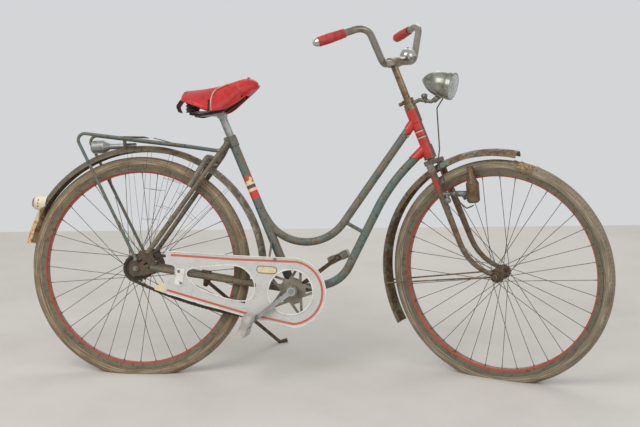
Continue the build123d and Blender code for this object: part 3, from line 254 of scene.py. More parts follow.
# plain finishes, as (name, base tone, second tone, rust, dark, roughness clean and rusted, metal, pits)
PLAIN_FINISHES = [
    ("teal_worn", (84, 104, 98), (106, 102, 86), 0.52, 0.56, (0.50, 0.85), 0.0, 0.0005),
    ("teal_gone_brown", (110, 101, 83), (86, 100, 92), 0.53, 0.56, (0.50, 0.85), 0.0, 0.0005),
    ("brown_worn", (112, 99, 78), (90, 88, 73), 0.52, 0.56, (0.50, 0.85), 0.0, 0.0005),
    ("crown_grey", (126, 118, 106), (96, 92, 84), 0.50, 0.56, (0.50, 0.85), 0.5, 0.0005),
    ("rack_teal", (86, 102, 94), (106, 96, 78), 0.53, 0.56, (0.50, 0.85), 0.0, 0.0005),
    ("dark_steel", (66, 58, 48), (50, 45, 38), 0.52, 0.50, (0.50, 0.85), 0.45, 0.0005),
    ("rusty_steel", (102, 82, 60), (84, 72, 58), 0.44, 0.55, (0.50, 0.85), 0.3, 0.0005),
    ("dull_steel", (150, 147, 140), (126, 122, 114), 0.60, 0.64, (0.34, 0.75), 0.75, 0.0002),
    ("ring_steel", (142, 136, 122), (112, 104, 90), 0.56, 0.58, (0.40, 0.80), 0.6, 0.0003),
    ("old_chrome", (154, 150, 138), (124, 116, 100), 0.60, 0.66, (0.25, 0.70), 0.8, 0.0002),
    ("good_chrome", (188, 187, 183), (164, 161, 152), 0.66, 0.68, (0.16, 0.60), 0.9, 0.0001),
    ("lock_grey", (122, 114, 102), (98, 90, 78), 0.56, 0.60, (0.45, 0.80), 0.3, 0.0002),
    ("bracket_grey", (128, 128, 122), (104, 102, 94), 0.58, 0.60, (0.40, 0.80), 0.45, 0.0003),
    ("lamp_grey", (150, 152, 144), (116, 116, 102), 0.60, 0.60, (0.25, 0.70), 0.6, 0.0003),
    ("pedal_grey", (190, 186, 180), (164, 158, 150), 0.62, 0.66, (0.40, 0.70), 0.2, 0.0003),
    ("dropout_rust", (88, 76, 60), (70, 62, 50), 0.50, 0.54, (0.50, 0.85), 0.2, 0.0005),
    ("plate_cream", (220, 206, 170), (208, 190, 150), 0.68, 0.70, (0.50, 0.85), 0.0, 0.0001),
    ("lamp_cream", (222, 212, 188), (206, 188, 154), 0.62, 0.66, (0.50, 0.85), 0.0, 0.0003),
    ("dynamo_brown", (116, 92, 66), (96, 76, 56), 0.50, 0.58, (0.45, 0.80), 0.35, 0.0003),
    ("old_brass", (142, 124, 98), (114, 94, 68), 0.54, 0.60, (0.35, 0.75), 0.6, 0.0003),
    ("old_alloy", (166, 167, 164), (144, 145, 142), 0.64, 0.66, (0.40, 0.65), 0.55, 0.0002),
    ("wire_brown", (82, 58, 40), (64, 46, 34), 0.62, 0.60, (0.50, 0.85), 0.0, 0.0001),
    ("black_wire", (48, 44, 42), (62, 56, 50), 0.58, 0.58, (0.50, 0.85), 0.3, 0.0001),
    ("guard_red_line", (194, 86, 66), (184, 104, 86), 0.68, 0.70, (0.50, 0.85), 0.0, 0.0001),
    ("guard_edge_light", (222, 221, 214), (206, 204, 196), 0.66, 0.68, (0.50, 0.85), 0.0, 0.0001),
]


def head_red():
    """Red head with two pairs of thin bands, worn to the metal along its front."""
    p = rusted("head_red", srgb(192, 44, 38), srgb(170, 46, 38), 0.62, 0.64, (0.35, 0.7))
    foot = row(head(HEAD_LOW_Z))
    height = p.along(way(HEAD_DIR), foot)
    wide, apart = 0.0036, 0.0045
    for low in (0.064, 0.084):
        p.layer(srgb(176, 170, 156), p.band(height, low, low + wide))
        p.layer(srgb(66, 54, 46), p.band(height, low + apart, low + apart + wide))
    ahead = p.along(way((math.sin(HEAD_ANGLE), 0, math.cos(HEAD_ANGLE))), foot)
    p.layer(srgb(92, 76, 60), p.step(p.ragged(ahead, 55.0, 0.016), 0.0175, 0.0215))
    return p.mottle(srgb(128, 66, 52), 80.0, 0.60, 0.72, lift=2.0)


# bands of the seat tube, as (start, end, colour), in metres up from the bottom bracket
BAND_CREAM = (222, 192, 154)
SEAT_BANDS = [(0.315, 0.340, (196, 56, 50)), (0.340, 0.350, BAND_CREAM), (0.350, 0.361, (84, 66, 70)),
              (0.361, 0.369, BAND_CREAM), (0.369, 0.392, (176, 72, 48))]


def seat_tube_bands():
    """Teal seat tube, brown along its front, with worn bands."""
    p = rusted("seat_tube_bands", srgb(84, 104, 98), srgb(104, 102, 88), 0.52)
    rise = SEAT_TOP - BB
    ahead = p.along(way((rise.z, 0, -rise.x)), row(BB))
    p.layer(srgb(106, 96, 80), p.step(p.ragged(ahead, 50.0, 0.012), 0.008, 0.014))
    height = p.along(way(rise), row(BB))
    for low, high, colour in SEAT_BANDS:
        p.layer(srgb(*colour), p.band(height, low, high))
    patches = p.step(p.noise(70.0, lift=11.0), 0.48, 0.54)
    p.layer(srgb(*BAND_CREAM), p.times(p.band(height, 0.362, 0.386), patches))
    return p.mottle(RUST, 70.0, 0.60, 0.70, lift=4.0)


def fork_brown():
    """Brown fork blades, grey at the top, with a red dart on each."""
    p = rusted("fork_brown", srgb(108, 88, 66), srgb(92, 96, 84), 0.46, 0.55)
    top = head(676.0) + Vector((8.0, 0, 0))
    down = (Vector((WHEELBASE - 85.4, 0, HUB_Z + 31.0)) - top).normalized()
    fore = Vector((-down.z, 0, down.x))
    dart_down, dart_half_long, dart_half_wide = 66.0, 0.036, 0.0085
    dart_at = p.along(way(down, True), row(top + down * dart_down, True))
    dart_long = p.math("DIVIDE", dart_at, dart_half_long)
    dart_wide = p.math("DIVIDE", p.along(way(fore, True), row(top, True)), dart_half_wide)
    dart = p.math("ADD", p.math("ABSOLUTE", dart_long), p.math("ABSOLUTE", dart_wide))
    p.layer(srgb(164, 56, 44), p.step(dart, 1.05, 0.92))
    p.layer(srgb(128, 118, 104), p.step(p.along(way(down, True), row(top, True)), 0.028, 0.020))
    return p.mottle(RUST, 80.0, 0.55, 0.66, lift=6.0)


def rear_guard_brown():
    """Brown rear mudguard with a cream, rusty tail and bald patches ahead."""
    p = rusted("rear_guard_brown", srgb(106, 93, 72), srgb(86, 79, 62), 0.50, 0.55)
    tail = p.step(p.along(-FORWARD, REAR_FOOT), 0.326, 0.336)
    p.layer(srgb(204, 182, 140), tail)
    p.layer(srgb(168, 112, 66), p.times(tail, p.step(p.noise(46.0, 9.0, 0.7, lift=15.0), 0.48, 0.56)))
    fore_part = p.step(p.along(FORWARD, REAR_FOOT), 0.15, 0.24)
    bald = p.times(fore_part, p.step(p.noise(40.0, 9.0, 0.7, lift=18.0), 0.47, 0.60))
    return p.layer(srgb(136, 132, 116), bald)


def front_guard_brown():
    p = rusted("front_guard_brown", srgb(122, 98, 70), srgb(96, 84, 64), 0.46, 0.56)
    return p.mottle(srgb(112, 130, 116), 30.0, 0.53, 0.63, lift=12.0)


def guard_pale():
    """Pale chain guard with a cream tip at the rear."""
    p = rusted("guard_pale", srgb(194, 193, 188), srgb(187, 185, 179), 0.68, 0.70, (0.38, 0.7), pits=0.0002)
    p.layer(srgb(214, 198, 162), p.step(p.along(-FORWARD, row(BB)), 0.402, 0.410))
    return p.mottle(srgb(158, 150, 136), 90.0, 0.64, 0.74, lift=7.0)


def rim_paint(name, centre):
    """Brown rim with a red line round it."""
    p = rusted(name, srgb(112, 104, 84), srgb(98, 98, 82), 0.52, 0.58, (0.45, 0.8), metal=0.2)
    p.layer(srgb(176, 68, 52), p.band(p.away(centre), 0.3042, 0.3092))
    return p.mottle(RUST, 64.0, 0.56, 0.66, lift=8.0)


def hub_paint(name, centre, axis, flange_r, base, second):
    """Hub shell near the axle, spokes farther out."""
    p = rusted(name, base, second, 0.46, 0.55, metal=0.35)
    distance, aside = p.away(centre), p.along(axis, centre)
    out = p.math("SQRT", p.math("SUBTRACT", p.times(distance, distance), p.times(aside, aside)))
    bright = p.step(p.noise(40.0, 4.0, lift=2.0), 0.42, 0.6)
    spoke = p.step(out, flange_r + 0.001, flange_r + 0.003)
    p.layer(srgb(116, 110, 100), spoke)
    return p.layer(srgb(86, 78, 66), p.times(spoke, bright))


TORN_TURN = math.radians(76.0)
TORN_R = 350.0
TORN_AT = row((WHEELBASE + TORN_R * math.cos(TORN_TURN), -8.0, HUB_Z + TORN_R * math.sin(TORN_TURN)), True)


def tyre_rubber(name, base, second, torn_at=None):
    """Perished rubber: ribs and streaks by the ring's own map, the pale streaks a painted highlight, grey
    dust, tan bald patches, a torn place.
    """
    p = Paint(name, rough=0.9)
    p.layer(base).mottle(second, 12.0, 0.42, 0.6)
    p.mottle(srgb(146, 128, 102), 24.0, 0.56, 0.68, lift=4.0)
    stretch = p.new("ShaderNodeMapping")
    stretch.inputs["Scale"].default_value = (0.12, 9.0, 1.0)
    p.join(p.uv, stretch.inputs["Vector"])
    streak = p.new("ShaderNodeTexNoise")
    streak.inputs["Scale"].default_value = 3.0
    streak.inputs["Detail"].default_value = 6.0
    p.join(stretch.outputs["Vector"], streak.inputs["Vector"])
    # pale streaks round the ring: painted highlight along the tyre
    p.layer(srgb(172, 160, 140), p.times(p.step(streak.outputs["Fac"], 0.53, 0.63), 0.6))
    p.layer(srgb(88, 76, 60), p.times(p.step(streak.outputs["Fac"], 0.45, 0.37), 0.6))
    split = p.new("ShaderNodeSeparateXYZ")
    p.join(p.uv, split.inputs[0])
    off = p.math("ABSOLUTE", p.math("SUBTRACT", split.outputs["Y"], 0.5))
    rib_count, block_count = 22, 2
    ribs = p.math("SINE", p.times(split.outputs["Y"], 2 * math.pi * rib_count))
    blocks = p.math("SINE", p.times(split.outputs["X"], 2 * math.pi * block_count))
    tread = p.times(p.math("ADD", ribs, p.times(blocks, 0.5)), p.step(off, 0.22, 0.15))
    p.layer(srgb(84, 75, 63), p.times(p.step(tread, 0.2, 1.2), 0.45))
    p.layer(srgb(70, 62, 52), p.times(p.band(off, 0.300, 0.316, 0.006), 0.7))
    if torn_at is not None:
        torn = p.step(p.ragged(p.away(torn_at), 75.0, 0.07, 10.0, 0.75), 0.070, 0.052)
        p.layer(srgb(164, 140, 104), torn)
        p.layer(srgb(104, 82, 58), p.times(torn, p.step(p.noise(150.0, 8.0, 0.7, lift=2.0), 0.48, 0.56)))
        p.bump(torn, 0.003, 0.8)
    p.bump(tread, 0.0011, 0.5)
    return p.bump(p.noise(260.0, 6.0), 0.0005, 0.6)


def torn_casing():
    p = Paint("torn_casing", rough=0.95)
    p.layer(srgb(162, 138, 100)).mottle(srgb(120, 94, 64), 120.0, 0.45, 0.6)
    p.mottle(srgb(206, 184, 144), 220.0, 0.58, 0.7, lift=3.0)
    return p.bump(p.noise(500.0, 4.0), 0.0006, 0.7)


def red_cover():
    """Glossy red saddle cover, mottled, with a tear beside the right seam's foot, its opening painted
    near-black as painted shade.
    """
    p = Paint("red_cover", rough=0.5)
    p.layer(srgb(190, 30, 29)).mottle(srgb(166, 24, 25), 22.0, 0.42, 0.62)
    p.mottle(srgb(206, 58, 50), 36.0, 0.58, 0.72, lift=4.0)
    p.mottle(srgb(92, 24, 24), 80.0, 0.62, 0.74, lift=8.0)
    # the tear is real; its near-black colour is painted shade in the opening
    narrow = p.band(p.ragged(p.along(FORWARD, REAR_FOOT), 90.0, 0.012), 0.2362, 0.2425, 0.001)
    tall = p.band(p.along(way((0, 0, 1)), REAR_FOOT), 0.826, 0.868, 0.004)
    right_side = p.step(p.along(RIGHT_OUT, REAR_FOOT), 0.04, 0.06)
    p.layer(srgb(26, 14, 14), p.times(p.times(narrow, tall), right_side))
    p.rougher(p.noise(30.0), 0.28, 0.52)
    return p.bump(p.noise(320.0, 5.0), 0.0006, 0.45).bump(p.noise(46.0, 4.0), 0.0012, 0.35)


def bag_leather():
    p = Paint("bag_leather", rough=0.7)
    p.layer(srgb(118, 48, 38)).mottle(srgb(84, 42, 34), 40.0, 0.42, 0.6)
    p.mottle(srgb(142, 84, 60), 70.0, 0.6, 0.72, lift=4.0)
    return p.bump(p.noise(260.0, 5.0), 0.0008, 0.6)


def cream_piping():
    p = Paint("cream_piping", rough=0.6)
    p.layer(srgb(202, 178, 140)).mottle(srgb(164, 124, 88), 60.0, 0.5, 0.64)
    return p.bump(p.noise(400.0), 0.0003, 0.4)


def red_grip():
    p = Paint("red_grip", rough=0.55)
    p.layer(srgb(178, 54, 46)).mottle(srgb(150, 40, 36), 40.0, 0.44, 0.62)
    p.mottle(srgb(206, 110, 92), 70.0, 0.62, 0.74, lift=6.0)
    p.mottle(srgb(92, 40, 34), 110.0, 0.63, 0.74, lift=3.0)
    return p.bump(p.noise(240.0), 0.0004, 0.4)


def dull_glass():
    """Headlamp glass with rings round its middle."""
    p = Paint("dull_glass", rough=0.22)
    p.layer(srgb(176, 180, 178)).mottle(srgb(142, 146, 144), 90.0, 0.46, 0.62)
    from_middle = p.away(row(head(HEAD_TOP_Z + 72.0) + Vector((169.3, 0, 0)), True))
    p.bump(p.math("SINE", p.times(from_middle, 1400.0)), 0.0008, 0.6)
    p.shader.inputs["Coat Weight"].default_value = 0.6
    return p


def red_glass():
    p = Paint("red_glass", rough=0.3)
    p.layer(srgb(150, 128, 108)).mottle(srgb(120, 90, 72), 110.0, 0.46, 0.62)
    return p.bump(p.noise(500.0), 0.0004, 0.5)


paints = []
for name, base, second, *numbers in PLAIN_FINISHES:
    paints.append(rusted(name, srgb(*base), srgb(*second), *numbers))
paints += [make() for make in (head_red, seat_tube_bands, fork_brown, rear_guard_brown, front_guard_brown,
                               guard_pale, torn_casing, red_cover, bag_leather, cream_piping, red_grip,
                               dull_glass, red_glass)]
paints += [
    hub_paint("front_hub_and_spokes", FRONT_AXLE, way((0, 1, 0), True), 0.022,
              srgb(104, 84, 62), srgb(86, 72, 56)),
    hub_paint("rear_hub_and_spokes", REAR_AXLE, -RIGHT_OUT, 0.037, srgb(66, 58, 48), srgb(50, 45, 38)),
    rim_paint("rear_rim_paint", REAR_AXLE),
    rim_paint("front_rim_paint", FRONT_AXLE),
    tyre_rubber("perished_rubber_rear", srgb(126, 108, 83), srgb(140, 121, 95)),
    tyre_rubber("perished_rubber_front", srgb(128, 116, 97), srgb(140, 126, 105), TORN_AT),
]
look = {p.mat.name: p.done() for p in paints}

NODE_LOOKS = {
    "teal_worn": ["down_tube", "tie_strut", "bottom_bracket"],
    "teal_gone_brown": ["top_tube"],
    "brown_worn": ["seat_stays", "chain_stays"],
    "dropout_rust": ["dropouts", "brake_arm"],
    "seat_tube_bands": ["seat_tube"],
    "head_red": ["head_tube"],
    "fork_brown": ["fork_blades"],
    "crown_grey": ["fork_crown"],
    "rear_guard_brown": ["rear_fender"],
    "front_guard_brown": ["front_fender", "fender_stays"],
    "rack_teal": ["rack_frame"],
    "rusty_steel": ["rack_clip", "stand_leg", "stand_clamp", "front_axle", "crank_left"],
    "front_hub_and_spokes": ["front_hub"],
    "rear_hub_and_spokes": ["rear_hub"],
    "dynamo_brown": ["dynamo"],
    "lock_grey": ["frame_lock", "frame_brackets"],
    "bracket_grey": ["fork_brackets"],
    "lamp_grey": ["lamp_shell"],
    "pedal_grey": ["pedal_right"],
    "good_chrome": ["crank_right", "bell", "grip_caps"],
    "dark_steel": ["rear_sprocket", "chain"],
    "black_wire": ["saddle_frame"],
    "wire_brown": ["lamp_wire"],
    "dull_steel": ["rear_axle", "crank_axle"],
    "ring_steel": ["chainring", "pedal_left"],
    "old_chrome": ["handlebar"],
    "old_brass": ["headset_cups", "headset_nut", "stem"],
    "old_alloy": ["torch_tube", "saddle_clamp", "seat_post"],
    "lamp_cream": ["rear_lamp"],
    "guard_pale": ["chain_guard"],
    "rear_rim_paint": ["rear_rim"],
    "front_rim_paint": ["front_rim"],
    "perished_rubber_rear": ["rear_tyre"],
    "perished_rubber_front": ["front_tyre"],
    "red_grip": ["grips"],
    "red_cover": ["saddle_cover"],
    "bag_leather": ["saddle_bag"],
    "dull_glass": ["lamp_lens"],
    "red_glass": ["rear_lamp_lens"],
}
for finish, names in NODE_LOOKS.items():
    for name in names:
        data = cad[name].data
        data.materials.clear()
        data.materials.append(look[finish])


# ways of making pieces
def piece(name, mesh, mat, body, smooth=True):
    mesh.materials.append(mat)
    for face in mesh.polygons:
        face.use_smooth = smooth
    obj = bpy.data.objects.new(name, mesh)
    scene.collection.objects.link(obj)
    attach(obj, body)
    return obj


def from_bm(name, bm):
    bmesh.ops.recalc_face_normals(bm, faces=bm.faces)
    mesh = bpy.data.meshes.new(name)
    bm.to_mesh(mesh)
    bm.free()
    return mesh


def ring_between(bm, rings, close_ends=False, cyclic=False):
    """Skin between rows of vertices."""
    pairs = list(zip(rings, rings[1:]))
    if cyclic:
        pairs.append((rings[-1], rings[0]))
    for a, b in pairs:
        n = len(a)
        for i in range(n):
            bm.faces.new((a[i], a[(i + 1) % n], b[(i + 1) % n], b[i]))
    if close_ends:
        bm.faces.new(rings[0])
        bm.faces.new(rings[-1])


def rods_mesh(name, rows, sides=8):
    """Straight round bars from rows of (start, end, radius start, radius end), in metres."""
    turns = [2 * math.pi * k / sides for k in range(sides)]
    bm = bmesh.new()
    for a, b, r0, r1 in rows:
        turn = (b - a).to_track_quat("Z", "Y").to_matrix()
        ends = []
        for at, r in ((a, r0), (b, r1)):
            circle = [Vector((r * math.cos(t), r * math.sin(t), 0)) for t in turns]
            ends.append([bm.verts.new(at + turn @ q) for q in circle])
        ring_between(bm, ends, close_ends=True)
    return from_bm(name, bm)


def bolts(name, rows, mat, body):
    """Hexagon heads on washers from rows of (place, outward direction, head radius), in the row frame."""
    bars = []
    for at, out, r in rows:
        washer_top = at + out * r * 0.25
        bars.append((at, washer_top, r * 1.25, r * 1.2))
        bars.append((washer_top, at + out * r * 0.95, r, r * 0.9))
    return piece(name, rods_mesh(name, bars, 6), mat, body, False)


def line_piece(name, points, radius, mat, body, cyclic=False):
    """Round wire or piping through control points in the row frame."""
    curve = bpy.data.curves.new(name, "CURVE")
    curve.dimensions = "3D"
    curve.bevel_depth = radius
    curve.bevel_resolution = 3
    curve.resolution_u = 6
    spline = curve.splines.new("NURBS")
    spline.points.add(len(points) - 1)
    for target, q in zip(spline.points, points):
        target.co = (*q, 1.0)
    spline.use_cyclic_u = cyclic
    spline.order_u = 3
    spline.use_endpoint_u = not cyclic
    curve.materials.append(mat)
    obj = bpy.data.objects.new(name, curve)
    scene.collection.objects.link(obj)
    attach(obj, body)
    return obj


# tyres
def tyre_point(centre_x, tube_r, around, across, steer):
    """Point of a tyre's skin by its turn round the wheel and its turn round the tube."""
    r = TYRE_R - TYRE_TUBE_R + tube_r * math.cos(across)
    at = (centre_x + r * math.cos(around), tube_r * math.sin(across), HUB_Z + r * math.sin(around))
    return row(at, steer)


def tyre_piece(name, centre_x, steer, body, node, mat):
    """Soft old tyre, flattened and bulged where it stands, with a map round the ring and across it."""
    around, across, skin_r, waver = 168, 22, 19.3, 0.03
    bulge_height, bulge_most, bulge_share = 0.012, 0.02, 0.22
    side = way((0, 1, 0), steer)
    bm = bmesh.new()
    uv = bm.loops.layers.uv.new("map")
    rings, marks = [], {}
    for i in range(around):
        a = 2 * math.pi * i / around
        line = []
        for j in range(across):
            b = 2 * math.pi * j / across
            uneven = noise.noise((6 * math.cos(a), 6 * math.sin(a), 2 * math.cos(b) + centre_x))
            q = tyre_point(centre_x, skin_r * (1 + waver * uneven), a, b, steer)
            if q.z < bulge_height:
                low = min(bulge_height - q.z, bulge_most)
                q += side * low * bulge_share * math.sin(b)
            q.z = max(q.z, 0.0)
            v = bm.verts.new(q)
            marks[v] = (i, j)
            line.append(v)
        rings.append(line)
    ring_between(bm, rings, cyclic=True)
    for face in bm.faces:
        turns = [marks[v][0] for v in face.verts]
        wraps = max(turns) - min(turns) > 1
        for loop in face.loops:
            i, j = marks[loop.vert]
            i += around if wraps and i == 0 else 0
            loop[uv].uv = (i / 2.0, (j / across + 0.5) % 1.0)
    obj = piece(name, from_bm(name, bm), mat, body)
    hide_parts(node)
    return obj


tyre_piece("rear_tyre_skin", 0.0, False, "rear_wheel", "rear_tyre", look["perished_rubber_rear"])
tyre_piece("front_tyre_skin", WHEELBASE, True, "front_wheel", "front_tyre", look["perished_rubber_front"])


def tyre_fray():
    """Strips of frayed casing standing off the torn place of the front tyre."""
    strips, steps = 26, 4
    bm = bmesh.new()
    for k in range(strips):
        a = TORN_TURN + 0.11 * math.sin(2.1 * k) + 0.012 * (k % 5 - 2)
        b = math.radians(-62.0 + 88.0 * ((k * 7) % 13) / 12)
        lift = 1.0 + 2.4 * ((k * 5) % 7) / 6
        length = 9.0 + 11.0 * ((k * 3) % 8) / 7
        width = 1.6 + 1.8 * ((k * 2) % 5) / 4
        line = []
        for t in range(steps + 1):
            part = t / steps
            turn = a + (length / TYRE_R) * (part - 0.5)
            rise = 19.4 + lift * part ** 2
            for half in (-1, 1):
                over = b + half * (width / 40.0) * (1 - 0.6 * part)
                line.append(bm.verts.new(tyre_point(WHEELBASE, rise, turn, over, True)))
        for t in range(steps):
            bm.faces.new((line[2 * t], line[2 * t + 1], line[2 * t + 3], line[2 * t + 2]))
    fray = piece("tyre_fray", from_bm("tyre_fray", bm), look["torn_casing"], "front_wheel")
    thick = fray.modifiers.new("thick", "SOLIDIFY")
    thick.thickness = 0.0008


tyre_fray()

# spoke nipples at the rims
NIPPLE = dict(pairs=9, sweep=60.0, rim_r=305.0, hole_y=4.0, cross=3.6, long=13.0, r=0.0019, tip_r=0.00152)


def nipples(name, x, steer, body, flange_r, flange_y):
    centre = Vector((x, 0, HUB_Z))
    rows = []
    for side in (-1, 1):
        for k in range(2 * NIPPLE["pairs"]):
            lead = 1 if k % 2 else -1
            hub_a = math.radians(k * 180 / NIPPLE["pairs"] + (90 / NIPPLE["pairs"] if side > 0 else 0))
            rim_a = hub_a + lead * math.radians(NIPPLE["sweep"])
            hub_y = side * (flange_y + lead * NIPPLE["cross"])
            hub = Vector((flange_r * math.cos(hub_a), hub_y, flange_r * math.sin(hub_a)))
            rim_r = NIPPLE["rim_r"]
            rim = Vector((rim_r * math.cos(rim_a), side * NIPPLE["hole_y"], rim_r * math.sin(rim_a)))
            back = rim + (hub - rim).normalized() * NIPPLE["long"]
            rows.append((row(centre + rim, steer), row(centre + back, steer), NIPPLE["r"], NIPPLE["tip_r"]))
    piece(name, rods_mesh(name, rows, 6), look["dull_steel"], body)


nipples("rear_nipples", 0.0, False, "rear_wheel", 33.0, 27.0)
nipples("front_nipples", WHEELBASE, True, "front_wheel", 19.0, 32.5)

# skirt guard net: strings, as degrees at (mudguard, axle), and rungs, as (string, string, share down)
NET = dict(edge_r=377.5, edge_y=26.6, foot_r=26.0, foot_x=4.0, foot_y=56.5, bow=4.0, r=0.0005)
NET_STRINGS = [(44.0, 30.0), (55.0, 44.0), (66.0, 60.0), (77.0, 76.0), (88.0, 92.0), (98.0, 106.0)]
NET_RUNGS = [(0, 1, 0.42), (1, 2, 0.30), (1, 2, 0.55), (2, 3, 0.22), (2, 3, 0.48), (3, 4, 0.34),
             (4, 5, 0.16), (3, 4, 0.62)]


def skirt_net():
    """Strings from the rear mudguard's edge to the axle, tied across by short rungs."""
    rows = []
    edge_r, foot_r, thin = NET["edge_r"], NET["foot_r"], (NET["r"], NET["r"])
    for side in (-1, 1):
        strings = []
        for edge_deg, foot_deg in NET_STRINGS:
            a, b = math.radians(edge_deg), math.radians(foot_deg)
            edge = FENDER_AT + Vector((edge_r * math.cos(a), side * NET["edge_y"], edge_r * math.sin(a)))
            foot = Vector((foot_r * math.cos(b) + NET["foot_x"], side * NET["foot_y"],
                           HUB_Z + foot_r * math.sin(b)))
            middle = (edge + foot) * 0.5 + Vector((NET["bow"] * math.sin(edge_deg), 0, 0))
            strings.append((edge, foot))
            rows += [(row(edge), row(middle), *thin), (row(middle), row(foot), *thin)]
        for i, j, part in NET_RUNGS:
            ends = [row(edge + (foot - edge) * part) for edge, foot in (strings[i], strings[j])]
            rows.append((*ends, *thin))
    piece("skirt_net", rods_mesh("skirt_net", rows, 5), look["black_wire"], "frame")


skirt_net()

# chain guard's trim, in millimetres on its face from the bottom bracket
GUARD_NOSE = arc((-2.0, -4.5), 110.2, range(80, -81, -10))
GUARD_WINDOW = [(-338, 44), (-329, 65), (-289, 71), (-186, 81), (-144, 67), (-111, 19), (-132, -45),
                (-288, -3)]
GUARD_HOLE = arc((-4, -3), 71.5, range(0, 360, 15))
PLATE_AT = (-79.0, 66.0)
PLATE_TILT = -3.0
CLIP_AT = (-356.0, 40.0)
CLIP_TILT = -8.0
CLIP_BOLTS = [(-359, 58), (-352, 21)]


def guard_edge(start, end):
    """The guard's outer edge from its upper to its lower rear corner."""
    return [start, (-187, 110), (2, 104.5)] + GUARD_NOSE + [(2, -113.5), (-141, -84), end]


def inset(points, distance, closed):
    """Points moved inward across their neighbours."""
    out = []
    n = len(points)
    for i, q in enumerate(points):
        a = Vector(points[(i - 1) % n] if closed or i else q)
        b = Vector(points[(i + 1) % n] if closed or i < n - 1 else q)
        t = (b - a).normalized()
        out.append(Vector(q) + Vector((t.y, -t.x)) * distance)
    return out


def on_guard(points, up=0.0):
    """Points of the guard's face, a height above it, in the row frame."""
    return [row((BB.x + q[0], GUARD_FACE_Y - up, BB.z + q[1])) for q in points]


def ribbon(name, inner, outer, mat, up, sink):
    """Flat painted band between two rows of points on the guard's face."""
    bm = bmesh.new()
    rings = []
    for q, w in zip(inner, outer):
        corners = ((q, -sink), (q, up), (w, up), (w, -sink))
        rings.append([bm.verts.new(on_guard([at], height)[0]) for at, height in corners])
    ring_between(bm, rings, close_ends=True)
    return piece(name, from_bm(name, bm), mat, "frame", False)


def guard_plate(name, at, half_l, half_h, corner, tilt, mat, thick):
    """Small plate with rounded ends on the guard's face."""
    bm = bmesh.new()
    outline = []
    for cx, cz, start in ((1, 1, 0), (-1, 1, 90), (-1, -1, 180), (1, -1, 270)):
        middle = (cx * (half_l - corner), cz * (half_h - corner))
        outline += arc(middle, corner, range(start, start + 91, 15))
    c, n = math.cos(math.radians(tilt)), math.sin(math.radians(tilt))
    rings = []
    for shrink, up in ((1.0, -0.3), (1.0, thick * 0.7), (0.93, thick)):
        flat = [(at[0] + (x * c - z * n) * shrink, at[1] + (x * n + z * c) * shrink) for x, z in outline]
        rings.append([bm.verts.new(q) for q in on_guard(flat, up)])
    ring_between(bm, rings, close_ends=True)
    return piece(name, from_bm(name, bm), mat, "frame", False)


band_edge = guard_edge((-384, 121), (-400, -13))
ribbon("guard_red_band", inset(band_edge, 15.4, False), inset(band_edge, 8.6, False), look["guard_red_line"],
       0.25, 0.4)
edge_line = inset(guard_edge((-402, 122), (-396, -14)), 1.2, False)
window_line = inset(GUARD_WINDOW, -1.0, True)
light = look["guard_edge_light"]
line_piece("guard_edge_light", on_guard(edge_line, 0.2), 0.0017, light, "frame")
line_piece("guard_window_light", on_guard(window_line), 0.0020, light, "frame", True)
line_piece("guard_hole_light", on_guard(GUARD_HOLE), 0.0026, light, "frame", True)
guard_plate("guard_plate_border", PLATE_AT, 32.4, 11.6, 11.4, PLATE_TILT, look["dropout_rust"], 1.0)
guard_plate("guard_blank_plate", PLATE_AT, 30.4, 9.6, 9.4, PLATE_TILT, look["plate_cream"], 1.8)
guard_plate("guard_clip_plate", CLIP_AT, 13.0, 27.0, 5.0, CLIP_TILT, light, 2.2)
clip_rows = [(at, RIGHT_OUT, 0.0042) for at in on_guard(CLIP_BOLTS, 2.0)]
bolts("guard_clip_bolts", clip_rows, look["dull_steel"], "frame")


# saddle: padded cover and bag blown up a little by cloth, then seam, rim and rivets
def fresh_mesh(obj):
    graph = bpy.context.evaluated_depsgraph_get()
    return bpy.data.meshes.new_from_object(obj.evaluated_get(graph))


def swell(obj, start, pressure, cap):
    """Blow a closed mesh up by cloth under pressure, each point by no more than a cap in metres."""
    cloth = obj.modifiers.new("cloth", "CLOTH")
    cloth.settings.use_pressure = True
    cloth.settings.uniform_pressure_force = pressure
    cloth.settings.effector_weights.gravity = 0.0
    cloth.settings.quality = 6
    for f in range(1, 21):
        scene.frame_set(f)
    swollen = fresh_mesh(obj)
    obj.modifiers.clear()
    for v, a, b in zip(obj.data.vertices, swollen.vertices, start):
        move = a.co - b
        if move.length > cap:
            move *= cap / move.length
        v.co = b + move
    scene.frame_set(1)


def padded_piece(name, node, body, mat, voxel, pressure, cap):
    obj = bpy.data.objects.new(name, cad[node].data.copy())
    scene.collection.objects.link(obj)
    remesh = obj.modifiers.new("remesh", "REMESH")
    remesh.mode = "VOXEL"
    remesh.voxel_size = voxel
    bpy.context.view_layer.update()
    base = fresh_mesh(obj)
    obj.modifiers.clear()
    obj.data = base
    start = [v.co.copy() for v in base.vertices]
    swell(obj, start, pressure, cap)
    base.materials.clear()
    base.materials.append(mat)
    for face in base.polygons:
        face.use_smooth = True
    smooth = obj.modifiers.new("smooth", "SMOOTH")
    smooth.iterations = 4
    smooth.factor = 0.4
    sub = obj.modifiers.new("round", "SUBSURF")
    sub.levels = sub.render_levels = 1
    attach(obj, body)
    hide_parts(node)
    return obj


padded_piece("saddle_pad", "saddle_cover", "frame", look["red_cover"], 0.003, 3.0, 0.003)
padded_piece("saddle_bag_rest", "saddle_bag", "frame", look["bag_leather"], 0.003, 2.0, 0.002)

